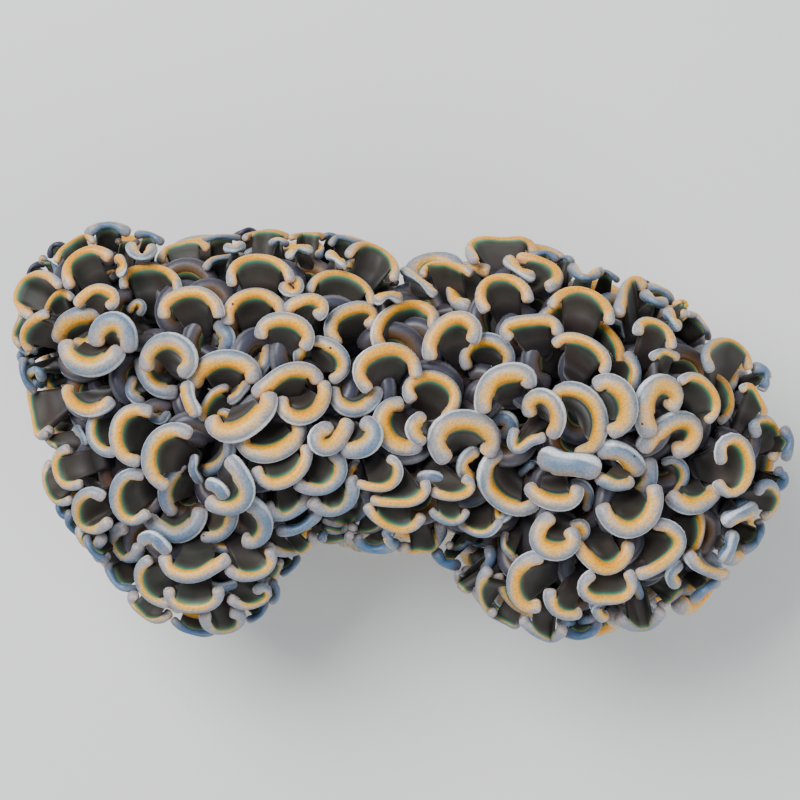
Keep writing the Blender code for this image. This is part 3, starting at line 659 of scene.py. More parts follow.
def guess_hammer(hammer, head, outward, turn):
    """A hammer bent to an arc that leans back from its stalk."""
    back = back_direction(outward, turn)
    lateral = np.cross(back, outward)
    up = back * math.sin(hammer["tilt"]) + outward * math.cos(hammer["tilt"])
    face = outward * math.sin(hammer["tilt"]) - back * math.cos(hammer["tilt"])
    share = np.linspace(-1, 1, LINE_POINTS)
    angle = hammer["sweep"] * (share + hammer["skew"] * (1 - share**2))
    radius = hammer["radius"] * (1 - hammer["curl"] * share**4)
    side = np.sin(angle)[:, None] * lateral + np.cos(angle)[:, None] * up
    hammer["line"] = head + radius[:, None] * side + (hammer["bow"] * share**2)[:, None] * face
    hammer["faces"] = np.tile(face, (LINE_POINTS, 1))
    hammer["head"], hammer["outward"], hammer["back"] = head, outward, back
    return give_stalk(hammer)


print("on a side, an unturned hammer's back looks", back_direction(np.array([1.0, 0.0, 0.0]), 0.0))

# %% Guessed hammers
# The head, from which the arc is drawn, lies this deep under the canopy.
HEAD_INSET = 5.3
# Each layer: its depth, the clearance of two arcs, of an arc and a web, the points tried to a crown, and how
# far up its hammers may look.
LAYERS = (
    (0.0, 4.25, 2.6, 900, 0.25),
    (3.6, 3.1, 1.7, 900, 0.25),
    (6.6, 2.7, 1.6, 700, 1.0),
    (9.0, 2.3, 1.2, 420, 1.0),
)
# Hammers whose heads are farther apart than this can't touch.
NEIGHBOUR_REACH = 19.0
# The places are tried from the top down, give or take this much.
HEIGHT_SPREAD = 3.0
TRIES = 3
# How many degrees a hammer may be turned from downhill: on the top, and how much less from this steepness on.
TOP_TURN, STEEP_TURN_LOSS, STEEP = 150, 115, 0.75


def clears(hammer, arc_gap, web_gap):
    """Whether a hammer's arc and web keep clear of the arcs and webs that are taken."""
    near = np.linalg.norm(np.array(taken["head"]) - hammer["head"], axis=1) < NEIGHBOUR_REACH
    if not near.any():
        return True
    arcs, webs = np.array(taken["arc"])[near], np.array(taken["web"])[near]
    return (
        least_distance(hammer["arc"], arcs) > arc_gap
        and least_distance(hammer["arc"], webs) > web_gap
        and least_distance(hammer["web"], arcs) > web_gap
    )


def fill_layer(layer):
    depth, arc_gap, web_gap, count, highest_look = LAYERS[layer]
    points, normals = canopy_points(count)
    order = np.argsort(-(points[:, 2] + chance.normal(0, HEIGHT_SPREAD, len(points))), kind="stable")
    for point, outward in zip(points[order], normals[order]):
        head = point - outward * (HEAD_INSET + depth)
        if outward[2] > highest_look or least_distance(head[None], np.array(taken["head"])) < arc_gap:
            continue
        steepness = steepness_of(outward)
        reach = math.radians(TOP_TURN - STEEP_TURN_LOSS * min(1.0, steepness / STEEP))
        for _ in range(TRIES):
            hammer = draw_hammer(steepness)
            hammer["crown"], hammer["layer"] = crown_of(point), layer
            guess_hammer(hammer, head, outward, chance.uniform(-reach, reach))
            if clears(hammer, arc_gap, web_gap):
                hammers.append(hammer)
                take(hammer)
                break


for layer in range(len(LAYERS)):
    fill_layer(layer)
    print("layer", layer, "brings the tentacles to", len(hammers))

# %% [markdown]
# ## A straight tentacle
#
# A hammer could be sculpted bent, but then every copy would bend alike. It is easier to model it straight, as
# a sausage with a fin, and to bend each copy on its own later. The sausage is a ring extruded into a tube
# with closed ends. The fin is the stalk: the faces along one side of the tube, extruded a few times. Every
# vertex remembers where it sits: its share along the sausage, its corner on the ring, its level down the fin.

# %% The cage
SIDES = 6
SEGMENTS = 8
WEB_HALF_SEGMENTS = 3
WEB_LEVELS = 4
# The web joins the sausage up to this share of the way from its middle to its ends.
WEB_SHARE = 2 * WEB_HALF_SEGMENTS / SEGMENTS
CAP_LENGTH = 0.1
FIN_WAY = (1, -0.5, 0)


def only(kind, made):
    """The points, edges or faces among what an operator made."""
    return [element for element in made if isinstance(element, kind)]


def extrude_ring(bm, edges, way):
    """Extrudes a ring of edges, and returns the new ring's points and edges."""
    made = bmesh.ops.extrude_edge_only(bm, edges=edges)["geom"]
    bmesh.ops.translate(bm, verts=only(BMVert, made), vec=way)
    return only(BMVert, made), only(BMEdge, made)


def extrude_fin(bm, fin, level):
    for step in range(WEB_LEVELS):
        made = bmesh.ops.extrude_face_region(bm, geom=fin)["geom"]
        fin = only(BMFace, made)
        bmesh.ops.translate(bm, verts=only(BMVert, made), vec=FIN_WAY)
        for v in only(BMVert, made):
            v[level] = step + 1


def straight_tentacle():
    bm = bmesh.new()
    share, corner, level, cap = [bm.verts.layers.float.new(n) for n in ("share", "corner", "level", "cap")]
    for v in bmesh.ops.create_circle(bm, segments=SIDES, radius=1.0)["verts"]:
        v[corner] = math.floor(math.atan2(v.co.y, v.co.x) / math.tau * SIDES) % SIDES
        v[share] = -1.0
    first_ring = edges = bm.edges[:]
    for step in range(SEGMENTS):
        points, edges = extrude_ring(bm, edges, (0, 0, 2 / SEGMENTS))
        for v in points:
            v[share] = -1 + 2 * (step + 1) / SEGMENTS
    for ring, way in ((first_ring, -1), (edges, 1)):
        points, border = extrude_ring(bm, ring, (0, 0, CAP_LENGTH * way))
        for v in points:
            v[cap] = 1.0
        bmesh.ops.contextual_create(bm, geom=border)
    web_border = [
        f for f in bm.faces
        if {v[corner] for v in f.verts} == {0.0, float(SIDES - 1)}
        and all(abs(v[share]) < WEB_SHARE + 0.01 for v in f.verts)
    ]
    extrude_fin(bm, web_border, level)
    bmesh.ops.recalc_face_normals(bm, faces=bm.faces)
    return bm


cage = straight_tentacle()
print("cage:", len(cage.verts), "points,", len(cage.faces), "faces")

# %% [markdown]
# ## Marks for the paint
#
# The colours follow the tentacle, so the paint must know where it is. Each point of the cage gets four marks
# that survive subdivision: how far it lies across the sausage from the web's border, how far along it from
# the middle, its angle around the sausage, and how far down the stalk.

# %% Paint marks
# The angles of the ring's corners, in degrees, where the web joins the sausage and at the free ends.
JOINED_ANGLES = np.radians([150, 95, 40, -10, -60, -105])
FREE_ANGLES = np.radians([150, 90, 30, -30, -90, -150])
# The ring turns from joined to free from this share of the way to the ends.
FREE_FROM = 0.75
CAP_MARK = 0.12
STALK_MARKS = np.array([0.0, 0.3, 1.0, 1.6, 2.4])


def smoothstep(low, high, value):
    share = np.clip((value - low) / (high - low), 0, 1)
    return share * share * (3 - 2 * share)


def mark_cage(bm):
    """Adds the paint marks, and returns the places of the cage's points as arrays."""
    bm.verts.ensure_lookup_table()
    places = {name: np.array([v[bm.verts.layers.float[name]] for v in bm.verts])
              for name in ("share", "corner", "level", "cap")}
    corners = places["corner"].astype(int)
    free = smoothstep(FREE_FROM, 1.0, np.abs(places["share"]))
    angle = JOINED_ANGLES[corners] * (1 - free) + FREE_ANGLES[corners] * free
    places["angle"] = angle
    places["front"] = np.where(corners == 0, 1.0, -1.0)
    joined_mark = (JOINED_ANGLES[0] - JOINED_ANGLES[corners]) / (JOINED_ANGLES[0] - JOINED_ANGLES[-1])
    free_mark = (math.pi - np.abs(FREE_ANGLES[corners])) / math.pi
    marks = {
        "across": joined_mark * (1 - free) + free_mark * free,
        "along": np.abs(places["share"]) + CAP_MARK * places["cap"],
        "around": angle / math.pi,
        "stalk": STALK_MARKS[places["level"].astype(int)],
    }
    for name, values in marks.items():
        layer = bm.verts.layers.float.new(name)
        for v, value in zip(bm.verts, values):
            v[layer] = float(value)
    level = bm.verts.layers.float["level"]
    for face in bm.faces:
        face.material_index = int(any(v[level] > 0 for v in face.verts))
        face.smooth = True
    return places


def to_mesh(bm, name, *materials):
    """Turns a bmesh into a mesh with its materials."""
    mesh = bpy.data.meshes.new(name)
    bm.to_mesh(mesh)
    bm.free()
    for material in materials:
        mesh.materials.append(material)
    return mesh


cage_places = mark_cage(cage)
cage_mesh = to_mesh(cage, "straight tentacle")
print("marks:", [a.name for a in cage_mesh.attributes if a.domain == "POINT" and a.data_type == "FLOAT"])

# %% [markdown]
# ## Bending a copy
#
# A hammer is tilted back from its stalk, so that from above one sees its rounded top and, in its hollow, the
# dark web. The sausage's points go round the arc. The web's points run from the arc's underside to a narrow
# neck and on to the stalk's root in the polyp.

# %% Bend
# Subdivision draws a six-sided ring in by about a sixth, so the cage is made that much fatter.
CAGE_FATNESS = 1.17
# How much a closed end narrows, and how far it reaches out, as shares of the thickness.
CAP_TAPER = 0.36
CAP_REACH = 0.55
# The sausage's direction is read between points this far before and behind.
STEP = 0.06
NECK_HALF_WIDTH = 2.5
NECK_HALF_THICKNESS = 1.3
ROOT_HALF_WIDTH = 1.5
ROOT_HALF_THICKNESS = 1.2
STALK_ROUNDNESS = 0.8
# For each level of the web: how much of the arc's underside, of the neck and of the root is in it.
WEB_MIX = np.array([[1, 0, 0], [0.84, 0.16, 0], [0.36, 0.64, 0], [0, 1, 0], [0, 0, 1]], float)


def bend(places, hammer):
    """The places, in millimetres, of the cage's points on one hammer."""
    share, cap, angle = places["share"], places["cap"], places["angle"]
    rows = np.linspace(-1, 1, LINE_POINTS)
    line = hammer["line"]
    along = unit(along_line(line, rows, share + STEP) - along_line(line, rows, share - STEP))
    radial = unit(np.cross(along_line(hammer["faces"], rows, share), along))
    face = np.cross(along, radial)
    thick = hammer["thick"] * (1 - hammer["waist"] * (1 - share**2) ** 2 + hammer["bulb"] * share**4)
    size = thick * CAGE_FATNESS * (1 - CAP_TAPER * cap)
    around = np.cos(angle)[:, None] * radial + np.sin(angle)[:, None] * face
    end = (np.sign(share) * cap * thick * CAP_REACH)[:, None] * along
    points = along_line(line, rows, share) + size[:, None] * around + end

    side = np.clip(share / WEB_SHARE, -1, 1)
    plump = np.sqrt(1 - STALK_ROUNDNESS * side**2) * places["front"]

    def stalk_at(centre, half_width, half_thickness):
        across = (side * half_width)[:, None] * hammer["lateral"]
        return centre + across - (plump * half_thickness)[:, None] * hammer["back"]

    neck = stalk_at(hammer["neck"], NECK_HALF_WIDTH, NECK_HALF_THICKNESS)
    root = stalk_at(hammer["root"], ROOT_HALF_WIDTH, ROOT_HALF_THICKNESS)
    mix = WEB_MIX[places["level"].astype(int)]
    return mix[:, :1] * points + mix[:, 1:2] * neck + mix[:, 2:] * root


print("one hammer spans, mm:", np.ptp(bend(cage_places, hammers[0]), axis=0).round(1))

# %% [markdown]
# ## Shared finishes
#
# Wet flesh and dry stone both have colour that drifts in blotches and fine specks. One node group makes both
# from the object's own coordinates, and each material sets its own sizes.

# %% Mottle group
BLOTCH_DETAIL = 3.0
SPECK_DETAIL = 1.0


def add_node(tree, kind, **settings):
    made = tree.nodes.new(kind)
    for name, value in settings.items():
        setattr(made, name, value)
    return made


def make_mottle():
    group = bpy.data.node_groups.new("Mottle", "ShaderNodeTree")
    given, put = group.nodes.new("NodeGroupInput"), group.nodes.new("NodeGroupOutput")
    where = add_node(group, "ShaderNodeTexCoord")
    for label, detail in (("Blotch", BLOTCH_DETAIL), ("Speck", SPECK_DETAIL)):
        group.interface.new_socket(name=label + " size", in_out="INPUT", socket_type="NodeSocketFloat")
        group.interface.new_socket(name=label, in_out="OUTPUT", socket_type="NodeSocketFloat")
        cloud = add_node(group, "ShaderNodeTexNoise")
        cloud.inputs["Detail"].default_value = detail
        group.links.new(where.outputs["Object"], cloud.inputs["Vector"])
        group.links.new(given.outputs[label + " size"], cloud.inputs["Scale"])
        group.links.new(cloud.outputs["Fac"], put.inputs[label])
    return group


MOTTLE = make_mottle()
print("group", MOTTLE.name, "puts out", [s.name for s in MOTTLE.interface.items_tree if s.in_out == "OUTPUT"])

# %% [markdown]
# ## Mixing colours
#
# A finish is a chain of nodes: a mark or a noise is read by a colour ramp, and colours are mixed by such
# values. Nodes can be wired one by one, but small helpers that make a node and feed it keep a finish easy to
# read.

# %% Colour helpers
def srgb(red, green, blue):
    """A colour given in the numbers of a colour picker, made linear."""
    shares = (red / 255, green / 255, blue / 255)
    return tuple(((c + 0.055) / 1.055) ** 2.4 if c > 0.04 else c / 12.92 for c in shares)


def feed(tree, value, socket):
    """Sets a socket to a number or a colour, or links another node's output to it."""
    if isinstance(value, bpy.types.NodeSocket):
        tree.links.new(value, socket)
    else:
        socket.default_value = (*value, 1.0) if isinstance(value, tuple) else value


def ramp(tree, value, stops):
    made = add_node(tree, "ShaderNodeValToRGB")
    elements = made.color_ramp.elements
    while len(elements) < len(stops):
        elements.new(0.5)
    for element, (place, colour) in zip(elements, stops):
        element.position = place
        element.color = (*colour, 1.0)
    feed(tree, value, made.inputs["Fac"])
    return made.outputs["Color"]


def mark(tree, name):
    return add_node(tree, "ShaderNodeAttribute", attribute_name=name).outputs["Fac"]


def math_node(tree, operation, *values):
    made = add_node(tree, "ShaderNodeMath", operation=operation)
    for socket, value in zip(made.inputs, values):
        feed(tree, value, socket)
    return made.outputs[0]


def mix_colour(tree, share, first, second, blend="MIX"):
    made = add_node(tree, "ShaderNodeMix", data_type="RGBA", blend_type=blend)
    for slot, value in ((0, share), (6, first), (7, second)):
        feed(tree, value, made.inputs[slot])
    return made.outputs[2]


def new_material(name, settings):
    """A material with a Principled shader and that shader's plain settings."""
    made = bpy.data.materials.new(name)
    made.use_nodes = True
    shader = made.node_tree.nodes["Principled BSDF"]
    for label, value in settings.items():
        shader.inputs[label].default_value = value
    return made, made.node_tree, shader


def mottle(tree, blotch, speck):
    made = add_node(tree, "ShaderNodeGroup", node_tree=MOTTLE)
    made.inputs["Blotch size"].default_value = blotch
    made.inputs["Speck size"].default_value = speck
    return made.outputs["Blotch"], made.outputs["Speck"]


WHITE, BLACK = (1.0, 1.0, 1.0), (0.0, 0.0, 0.0)
PEACH = srgb(230, 202, 178)
print("peach is, in linear numbers:", [round(c, 2) for c in PEACH])

# %% [markdown]
# ## Flesh of the hammers
#
# The sausage is gold where the web leaves it, peach over the top, and pale blue grey on its back. A colour
# ramp read by the mark across gives that, and noise frays it. Some hammers are bluer, and so are those deep
# in the canopy, which also get painted shade that darkens them. Those that look up get a painted highlight: a
# thin pale rim, read from the mark around.
# Cells far apart put in the rare dark specks. The flesh lets light in, so it gets subsurface scattering, and
# sheen gives the bright thin edge.

# %% Hammer flesh
# How far blotches fray the colours, how far a hammer's tone shifts them, and how pale its ends are.
FRAYING = 0.34
TONE_SHIFT = 0.17
PALE_ENDS = 0.36
# Painted highlight: the pale colour of the rim laid along the outer side of hammers that look up.
PAINTED_RIM_HIGHLIGHT = srgb(236, 240, 242)
# Painted shade: the dark purple that hammers deep in the canopy are mixed towards.
PAINTED_DEPTH_SHADE = srgb(44, 34, 48)
SPECK_BROWN = srgb(52, 34, 24)
SPECK_CELLS = 110.0


def hammer_body_colour(tree, blotch):
    """Gold, peach and blue grey across the sausage, with paler ends."""
    across = math_node(tree, "MULTIPLY_ADD", blotch, FRAYING, mark(tree, "across"))
    across = math_node(tree, "MULTIPLY_ADD", mark(tree, "tone"), TONE_SHIFT, across)
    body = ramp(tree, math_node(tree, "ADD", across, -FRAYING / 2), [
        (0.0, srgb(232, 152, 4)), (0.09, srgb(240, 168, 22)), (0.18, srgb(228, 172, 66)),
        (0.26, srgb(206, 168, 120)), (0.36, srgb(150, 147, 144)), (0.50, srgb(104, 126, 150)),
        (1.0, srgb(66, 104, 142)),
    ])
    ends = math_node(tree, "MULTIPLY", math_node(tree, "POWER", mark(tree, "along"), 3.0), PALE_ENDS)
    return mix_colour(tree, ends, body, PEACH)


def painted_rim_highlight(tree, blotch):
    """How much of the painted rim highlight shows: a thin pale line along the sausage's outer side."""
    place = math_node(tree, "MULTIPLY_ADD", blotch, 0.08, math_node(tree, "ABSOLUTE", mark(tree, "around")))
    line = ramp(tree, place, [(0.12, (0.9, 0.9, 0.9)), (0.21, BLACK)])
    return math_node(tree, "MULTIPLY", line, mark(tree, "edge"))


def dark_specks(tree):
    cells = add_node(tree, "ShaderNodeTexVoronoi")
    cells.inputs["Scale"].default_value = SPECK_CELLS
    tree.links.new(add_node(tree, "ShaderNodeTexCoord").outputs["Object"], cells.inputs["Vector"])
    return ramp(tree, cells.outputs["Distance"], [(0.026, WHITE), (0.036, BLACK)])


def make_hammer_flesh():
    material, tree, shader = new_material("Hammer flesh", {
        "Roughness": 0.42, "Subsurface Weight": 0.12, "Subsurface Radius": (1.0, 0.8, 0.6),
        "Subsurface Scale": 0.0012, "Sheen Weight": 1.0, "Sheen Roughness": 0.1,
        "Sheen Tint": (*srgb(226, 240, 255), 1.0),
    })
    blotch, speck = mottle(tree, 240.0, 2200.0)
    colour = mix_colour(tree, painted_rim_highlight(tree, blotch), hammer_body_colour(tree, blotch), PAINTED_RIM_HIGHLIGHT)
    grain = ramp(tree, speck, [(0.40, (0.66, 0.68, 0.72)), (0.50, WHITE), (0.62, (1.1, 1.08, 1.05))])
    colour = mix_colour(tree, 0.65, colour, grain, "MULTIPLY")
    # Painted shade: hammers deep in the canopy are darkened by their shade mark.
    colour = mix_colour(tree, mark(tree, "shade"), colour, PAINTED_DEPTH_SHADE)
    colour = mix_colour(tree, dark_specks(tree), colour, SPECK_BROWN)
    tree.links.new(colour, shader.inputs["Base Color"])
    return material


HAMMER_FLESH = make_hammer_flesh()
print("material:", HAMMER_FLESH.name)

# %% [markdown]
# ## Flesh of the stalks
#
# The web is dark greenish brown near the hammer, and a thin green line runs where it meets the gold. Down the
# stalk and on the body the colour darkens to purple black, painted shade of the depth. A second material
# could be kept out by a mask, but the web's faces are known, so they simply carry their own, and a ramp is
# read by the mark down the stalk.

# %% Stalk flesh
STALK_FRAYING = 0.14
STALK_RAMP_SCALE = 0.4


def make_stalk_flesh():
    material, tree, shader = new_material("Stalk flesh", {
        "Roughness": 0.62, "Subsurface Weight": 0.1, "Subsurface Scale": 0.001,
        "Sheen Weight": 0.15, "Sheen Roughness": 0.4,
    })
    blotch, _ = mottle(tree, 130.0, 1500.0)
    down = math_node(tree, "MULTIPLY_ADD", blotch, STALK_FRAYING, mark(tree, "stalk"))
    down = math_node(tree, "ADD", down, -STALK_FRAYING / 2)
    # The web's own colour near the hammer, then painted shade down the stalk, darkening to purple black in
    # the depth.
    web_colour_and_depth_shade = ramp(tree, math_node(tree, "MULTIPLY", down, STALK_RAMP_SCALE), [
        (0.0, srgb(232, 160, 60)), (0.02, srgb(110, 140, 84)), (0.035, srgb(40, 110, 88)),
        (0.065, srgb(52, 51, 43)), (0.30, srgb(44, 36, 33)), (0.55, srgb(30, 22, 28)),
        (1.0, srgb(20, 12, 22)),
    ])
    cast = ramp(tree, blotch, [(0.35, srgb(150, 190, 170)), (0.5, WHITE), (0.66, srgb(240, 200, 170))])
    colour = mix_colour(tree, 0.8, web_colour_and_depth_shade, cast, "MULTIPLY")
    tree.links.new(colour, shader.inputs["Base Color"])
    return material


STALK_FLESH = make_stalk_flesh()
print("material:", STALK_FLESH.name)

# %% [markdown]
# ## Polyps
#
# A polyp is one soft animal: a lumpy body that sits over its stone cup, with its tentacles growing from it.
# All of it is one mesh. Each tentacle is a copy of the cage with its points moved to their bent places, and
# the subdivision rounds the whole.

# %% Bodies
BODY_RADIUS = 13.0
BODY_BOTTOM = -4.2
BODY_HEIGHT = 0.92
BUMP_HEIGHT = 0.9
BUMP_FINENESS = 0.35
# The body reads the far end of the stalk ramp, so it gets the darkest painted shade.
BODY_MARK = 2.5


def add_body(bm, centre):
    """The polyp's lumpy body, drawn in below where it sits on its cup."""
    made = bmesh.ops.create_icosphere(bm, subdivisions=3, radius=BODY_RADIUS)["verts"]
    for v in made:
        bump = noise.noise(Vector(centre) + v.co * BUMP_FINENESS) * BUMP_HEIGHT
        v.co *= 1 + bump / BODY_RADIUS
        v.co.z = max(v.co.z * BODY_HEIGHT, BODY_BOTTOM)
        v.co += Vector(centre)
        v[bm.verts.layers.float["stalk"]] = BODY_MARK
    for face in {face for v in made for face in v.link_faces}:
        face.material_index = 1
        face.smooth = True


def show(name, data):
    """Puts a mesh, a curve, a lamp or a camera in the scene."""
    made = bpy.data.objects.new(name, data)
    bpy.context.scene.collection.objects.link(made)
    return made


print("a polyp's body is", 2 * BODY_RADIUS, "mm across")

# %% Build the polyps
# How blue the hammers of each layer are, and how much painted shade darkens them.
LAYER_BLUENESS = (0.0, 0.3, 0.6, 0.6)
LAYER_PAINTED_SHADE = (0.0, 0.2, 0.84, 0.92)
# The painted rim highlight comes in while hammers look up from the first of these to the second.
PAINTED_RIM_LOOKS = (0.3, 0.9)
# One level of subdivision makes four quads, or eight triangles, of each quad.
TRIANGLES_PER_FACE = 8


def bend_tentacles(mesh, own):
    """Moves each tentacle of a polyp to its place, and marks it with its tone, its painted shade and its
    painted rim highlight.
    """
    places = np.zeros((len(mesh.vertices), 3))
    mesh.vertices.foreach_get("co", places.ravel())
    marks = {name: np.zeros(len(mesh.vertices)) for name in ("tone", "shade", "edge")}
    count = len(cage_mesh.vertices)
    for turn, hammer in enumerate(own):
        part = slice(turn * count, (turn + 1) * count)
        places[part] = bend(cage_places, hammer)
        marks["tone"][part] = hammer["tone"] + LAYER_BLUENESS[hammer["layer"]]
        marks["shade"][part] = LAYER_PAINTED_SHADE[hammer["layer"]]
        # How much painted rim highlight a hammer gets: more as it looks up.
        marks["edge"][part] = smoothstep(*PAINTED_RIM_LOOKS, hammer["outward"][2])
    mesh.vertices.foreach_set("co", (places * MM).ravel())
    for name, values in marks.items():
        mesh.attributes.new(name, "FLOAT", "POINT").data.foreach_set("value", values)
    mesh.update()


def build_polyp(name):
    own = [hammer for hammer in hammers if CROWN_NAMES[hammer["crown"]] == name]
    bm = bmesh.new()
    for _ in own:
        bm.from_mesh(cage_mesh)
    add_body(bm, CROWNS[name][0])
    mesh = to_mesh(bm, name + "_polyp", HAMMER_FLESH, STALK_FLESH)
    bend_tentacles(mesh, own)
    polyp = show(name + "_polyp", mesh)
    rounding = polyp.modifiers.new("Rounding", "SUBSURF")
    rounding.levels = rounding.render_levels = 1
    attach(polyp, "root")
    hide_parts("polyp_" + name)
    triangles = len(mesh.polygons) * TRIANGLES_PER_FACE
    print(polyp.name, "has", len(own), "tentacles and about", triangles, "triangles")


for crown_name in CROWN_NAMES:
    build_polyp(crown_name)

# %% [markdown]
# ## Stone
#
# The skeleton is dry white stone, blotched with wear and pitted with fine pores. Paint alone would look
# flat, so the same specks that darken the pores also feed a bump.

# %% Stone finish
BUMP_STRENGTH = 0.5
PORE_DEPTH = 0.0004


def make_stone():
    material, tree, shader = new_material("Coral stone", {"Roughness": 0.85})
    blotch, speck = mottle(tree, 90.0, 1800.0)
    wear = ramp(tree, blotch, [
        (0.3, srgb(176, 160, 132)), (0.5, srgb(214, 203, 178)), (0.7, srgb(232, 226, 208)),
    ])
    pores = ramp(tree, speck, [(0.36, srgb(150, 132, 108)), (0.5, WHITE)])
    colour = mix_colour(tree, 0.6, wear, pores, "MULTIPLY")
    tree.links.new(colour, shader.inputs["Base Color"])
    bump = add_node(tree, "ShaderNodeBump")
    bump.inputs["Strength"].default_value = BUMP_STRENGTH
    bump.inputs["Distance"].default_value = PORE_DEPTH
    tree.links.new(speck, bump.inputs["Height"])
    tree.links.new(bump.outputs["Normal"], shader.inputs["Normal"])
    return material


STONE = make_stone()
print("material:", STONE.name)

# %% [markdown]
# ## Limbs
#
# Each limb rises from the foot and forks into one branch for each polyp, and every branch has thin ridges
# running along it to the cup that holds the polyp. A plain bevelled curve would be smooth. So the curve only
# gives the path, and a ring is extruded along it with every second point drawn in, which makes real ridges.

# %% Paths of the limbs
LIMBS = {
    "limb_far_left": ("upper_left", "lower_left", "bottom_left"),
    "limb_left": ("top_left", "left_centre"),
    "limb_middle": ("inner_left", "middle", "inner_right"),
    "limb_right": ("right_centre", "far_right"),
    "limb_lower_right": ("bottom_right", "lower_right"),
}
RINGS = 26
# A limb's start and fork: the height of each, and how far it is out towards the limb's polyps.
START_Z, START_SHARE = 6.0, 0.55
FORK_Z, FORK_SHARE = 21.0, 0.84
# Branches stand this far apart at the fork, and a share of that at the start.
FORK_GAP = 1.8
START_GAP_SHARE = 0.6
BRANCH_SAG = 1.5
# A cup's rim lies this far below its crown's centre.
CUP_DEPTH = 3.4


def trace_curve(corners):
    """Points along a smooth curve that is drawn to some corners."""
    guide = bpy.data.curves.new("guide", "CURVE")
    guide.dimensions = "3D"
    spline = guide.splines.new("NURBS")
    spline.points.add(len(corners) - 1)
    for point, corner in zip(spline.points, corners):
        point.co = (*corner, 1)
    spline.use_endpoint_u = True
    spline.order_u = 3
    spline.resolution_u = 12
    holder = show("guide", guide)
    bpy.context.view_layer.update()
    line = holder.evaluated_get(bpy.context.evaluated_depsgraph_get()).to_mesh()
    points = np.array([v.co for v in line.vertices])
    bpy.data.objects.remove(holder)
    return points


def limb_path(name, polyp):
    """Points from inside the foot through the fork to the polyp's cup."""
    mean = CROWN_CENTRES[[CROWN_NAMES.index(one) for one in LIMBS[name]]].mean(axis=0)
    cup = np.array(CROWNS[polyp][0]) - (0, 0, CUP_DEPTH)
    start = np.array([*mean[:2] * START_SHARE, START_Z])
    fork = np.array([*mean[:2] * FORK_SHARE, FORK_Z])
    apart = unit((cup - fork) * (1, 1, 0)) * FORK_GAP
    neck = np.array([*cup[:2], (fork[2] + cup[2]) / 2])
    sag = (fork + neck) / 2 - (0, 0, BRANCH_SAG)
    return spread_evenly(trace_curve([start + apart * START_GAP_SHARE, fork + apart, sag, neck, cup]), RINGS)


print("the middle branch ends at, mm:", limb_path("limb_middle", "middle")[-1].round(1))

# %% Ridged tubes
RIDGES = 30
RIDGE_DEPTH = 0.55
LOWEST_LIMB = 0.3
# How far a tube's wall wavers, and how quickly around it and from ring to ring.
WAVER = 0.7
WAVER_AROUND = 1.3
WAVER_ALONG = 0.16


def in_round_order(points):
    return sorted(points, key=lambda v: math.atan2(v.co.y, v.co.x))


def shape_ring(ring, centre, way, radius, step):
    """Moves a ring's points round a point of the path, every second one drawn in."""
    turn = Vector((0, 0, 1)).rotation_difference(Vector(way)).to_matrix()
    for i, v in enumerate(ring):
        angle = math.tau * i / len(ring)
        east, north = math.cos(angle), math.sin(angle)
        place = Vector((east * WAVER_AROUND, north * WAVER_AROUND, step * WAVER_ALONG + centre[0]))
        reach = radius + noise.noise(place) * WAVER - (RIDGE_DEPTH if i % 2 else 0.0)
        v.co = Vector(centre) + turn @ Vector((east * reach, north * reach, 0))
        v.co.z = max(v.co.z, LOWEST_LIMB)


def add_ridged_tube(bm, path, radii):
    """A closed tube along a path, with a ridge at every second point of its rings."""
    first = bmesh.ops.create_circle(bm, cap_ends=True, segments=RIDGES * 2, radius=1.0)["verts"]
    edges = list(first[0].link_faces[0].edges)
    rings = [in_round_order(first)]
    for _ in range(len(path) - 1):
        points, edges = extrude_ring(bm, edges, (0, 0, 1))
        rings.append(in_round_order(points))
    bmesh.ops.contextual_create(bm, geom=edges)
    ways = unit(np.gradient(path, axis=0))
    for step, (ring, centre, way, radius) in enumerate(zip(rings, path, ways, radii)):
        shape_ring(ring, centre, way, radius, step)


print("a branch has", RIDGES, "ridges,", RIDGE_DEPTH, "mm deep")

# %% Build the limbs
# The radius of a branch, how much wider it gets along its way, and how far its cup flares from this share on.
BRANCH_RADIUS = 5.6
BRANCH_SWELL = 0.7
CUP_FLARE = 1.0
CUP_FROM = 0.86


def stone_mesh(bm, name):
    """Turns a stone piece's millimetres into metres and makes it a mesh."""
    bmesh.ops.scale(bm, vec=(MM, MM, MM), verts=bm.verts)
    bmesh.ops.recalc_face_normals(bm, faces=bm.faces)
    return to_mesh(bm, name, STONE)


def build_limb(name):
    bm = bmesh.new()
    share = np.linspace(0, 1, RINGS)
    radii = BRANCH_RADIUS + BRANCH_SWELL * share + CUP_FLARE * smoothstep(CUP_FROM, 1.0, share)
    for polyp in LIMBS[name]:
        add_ridged_tube(bm, limb_path(name, polyp), radii)
    for face in bm.faces:
        face.smooth = True
    limb = show(name + "_stone", stone_mesh(bm, name + "_stone"))
    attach(limb, "root")
    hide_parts(name)
    print(limb.name, "has", len(limb.data.polygons), "faces")


for limb_name in LIMBS:
    build_limb(limb_name)

# %% [markdown]
# ## Foot
#
# Under the limbs the skeleton is a low mound that spread over the rock. It is cut off flat, where it was
# broken from the rock. A sphere squashed and fluted, given lumps by noise, is cut by a plane.

# %% Foot
FOOT_RADII = (43.0, 27.0, 17.0)
FOOT_SHRINK = 0.02
# The flutes of the mound and its ridges: how many, and their share of its radius. The ridges fade out at the
# top, where the mound is narrow.
FLUTES, FLUTE_SHARE = 7, 0.04
FOOT_RIDGES, FOOT_RIDGE_SHARE, RIDGE_REACH = 76, 0.007, 1.4
# The lumps of the mound: their fineness and their share of its radius.
LUMPS = ((3.1, 0.035), (8.0, 0.016))


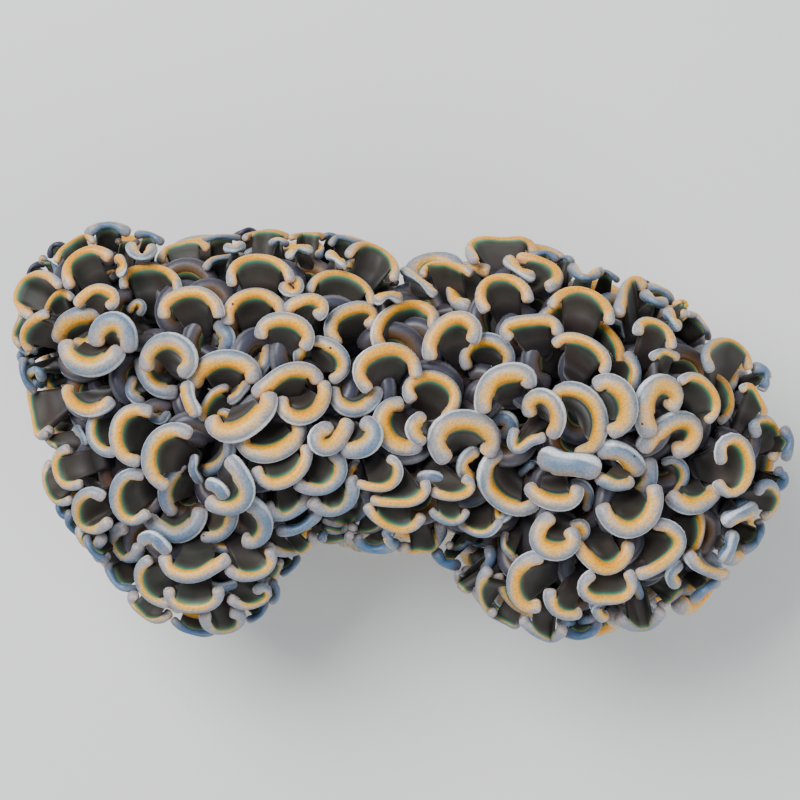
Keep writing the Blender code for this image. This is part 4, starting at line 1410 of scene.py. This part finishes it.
def foot_size(co):
    """How far the mound reaches at a point of the unit sphere."""
    turn = math.atan2(co.y, co.x)
    ridge_share = FOOT_RIDGE_SHARE * min(1.0, math.hypot(co.x, co.y) * RIDGE_REACH)
    lumps = sum(noise.noise(co * fineness) * share for fineness, share in LUMPS)
    flutes = 1 + FLUTE_SHARE * math.cos(FLUTES * turn)
    return flutes + lumps + ridge_share * math.cos(FOOT_RIDGES * turn) - FOOT_SHRINK


def build_foot():
    bm = bmesh.new()
    bmesh.ops.create_uvsphere(bm, u_segments=FOOT_RIDGES * 2, v_segments=48, radius=1.0)
    for v in bm.verts:
        size = foot_size(v.co)
        v.co = Vector([v.co[axis] * FOOT_RADII[axis] * size for axis in range(3)])
    cut = bmesh.ops.bisect_plane(
        bm, geom=[*bm.verts, *bm.edges, *bm.faces], plane_co=(0, 0, 0), plane_no=(0, 0, -1), clear_outer=True
    )["geom_cut"]
    for face in bm.faces:
        face.smooth = True
    bmesh.ops.edgeloop_fill(bm, edges=only(BMEdge, cut))
    foot = show("foot_stone", stone_mesh(bm, "foot_stone"))
    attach(foot, "root")
    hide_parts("foot")
    print(foot.name, "has", len(foot.data.polygons), "faces")


build_foot()

# %% [markdown]
# ## Studio
#
# The coral is seen from straight above its canopy, on a plain pale floor, in soft light from large lamps.

# %% Floor
FLOOR_HALF_SIZE = 3.0


def build_floor():
    bm = bmesh.new()
    bmesh.ops.create_grid(bm, x_segments=1, y_segments=1, size=FLOOR_HALF_SIZE)
    material, _, _ = new_material("Pale floor", {"Roughness": 0.7, "Base Color": (0.78, 0.78, 0.77, 1.0)})
    floor = show("floor", to_mesh(bm, "floor", material))


build_floor()
print("the floor is", 2 * FLOOR_HALF_SIZE, "m wide")

# %% Lights
# Each light: where it stands, what it points at, its size and its power.
LIGHTS = {
    "key": ((-0.35, 0.30, 0.70), (0, 0, 0.04), 0.45, 9.0),
    "fill": ((0.55, -0.45, 0.55), (0, 0, 0.04), 0.7, 4.0),
}
SKY_COLOUR = (0.9, 0.95, 1.0, 1.0)
SKY_STRENGTH = 0.5

for label, (place, target, size, power) in LIGHTS.items():
    lamp = bpy.data.lights.new(label, "AREA")
    lamp.size = size
    lamp.energy = power
    way = Vector(target) - Vector(place)
    turn = way.to_track_quat("-Z", "Y").to_matrix().to_4x4()
    show(label, lamp).matrix_world = Matrix.Translation(place) @ turn

world = bpy.data.worlds.new("Soft light")
world.use_nodes = True
sky = world.node_tree.nodes["Background"]
sky.inputs["Color"].default_value = SKY_COLOUR
sky.inputs["Strength"].default_value = SKY_STRENGTH
bpy.context.scene.world = world
print(len(LIGHTS), "lamps and a soft sky")

# %% Camera
camera_data = bpy.data.cameras.new("camera")
camera = show("camera", camera_data)
bpy.context.scene.camera = camera
camera.rotation_euler = (LEAN, 0, 0)
camera.location = Vector(CAMERA_PLACE) * MM
camera_data.lens = camera_data.sensor_width * CAMERA_DISTANCE / (PICTURE_SIZE * MM_PER_PIXEL)
print("lens, mm:", round(camera_data.lens, 1))

# %% Update the scene
bpy.context.view_layer.update()
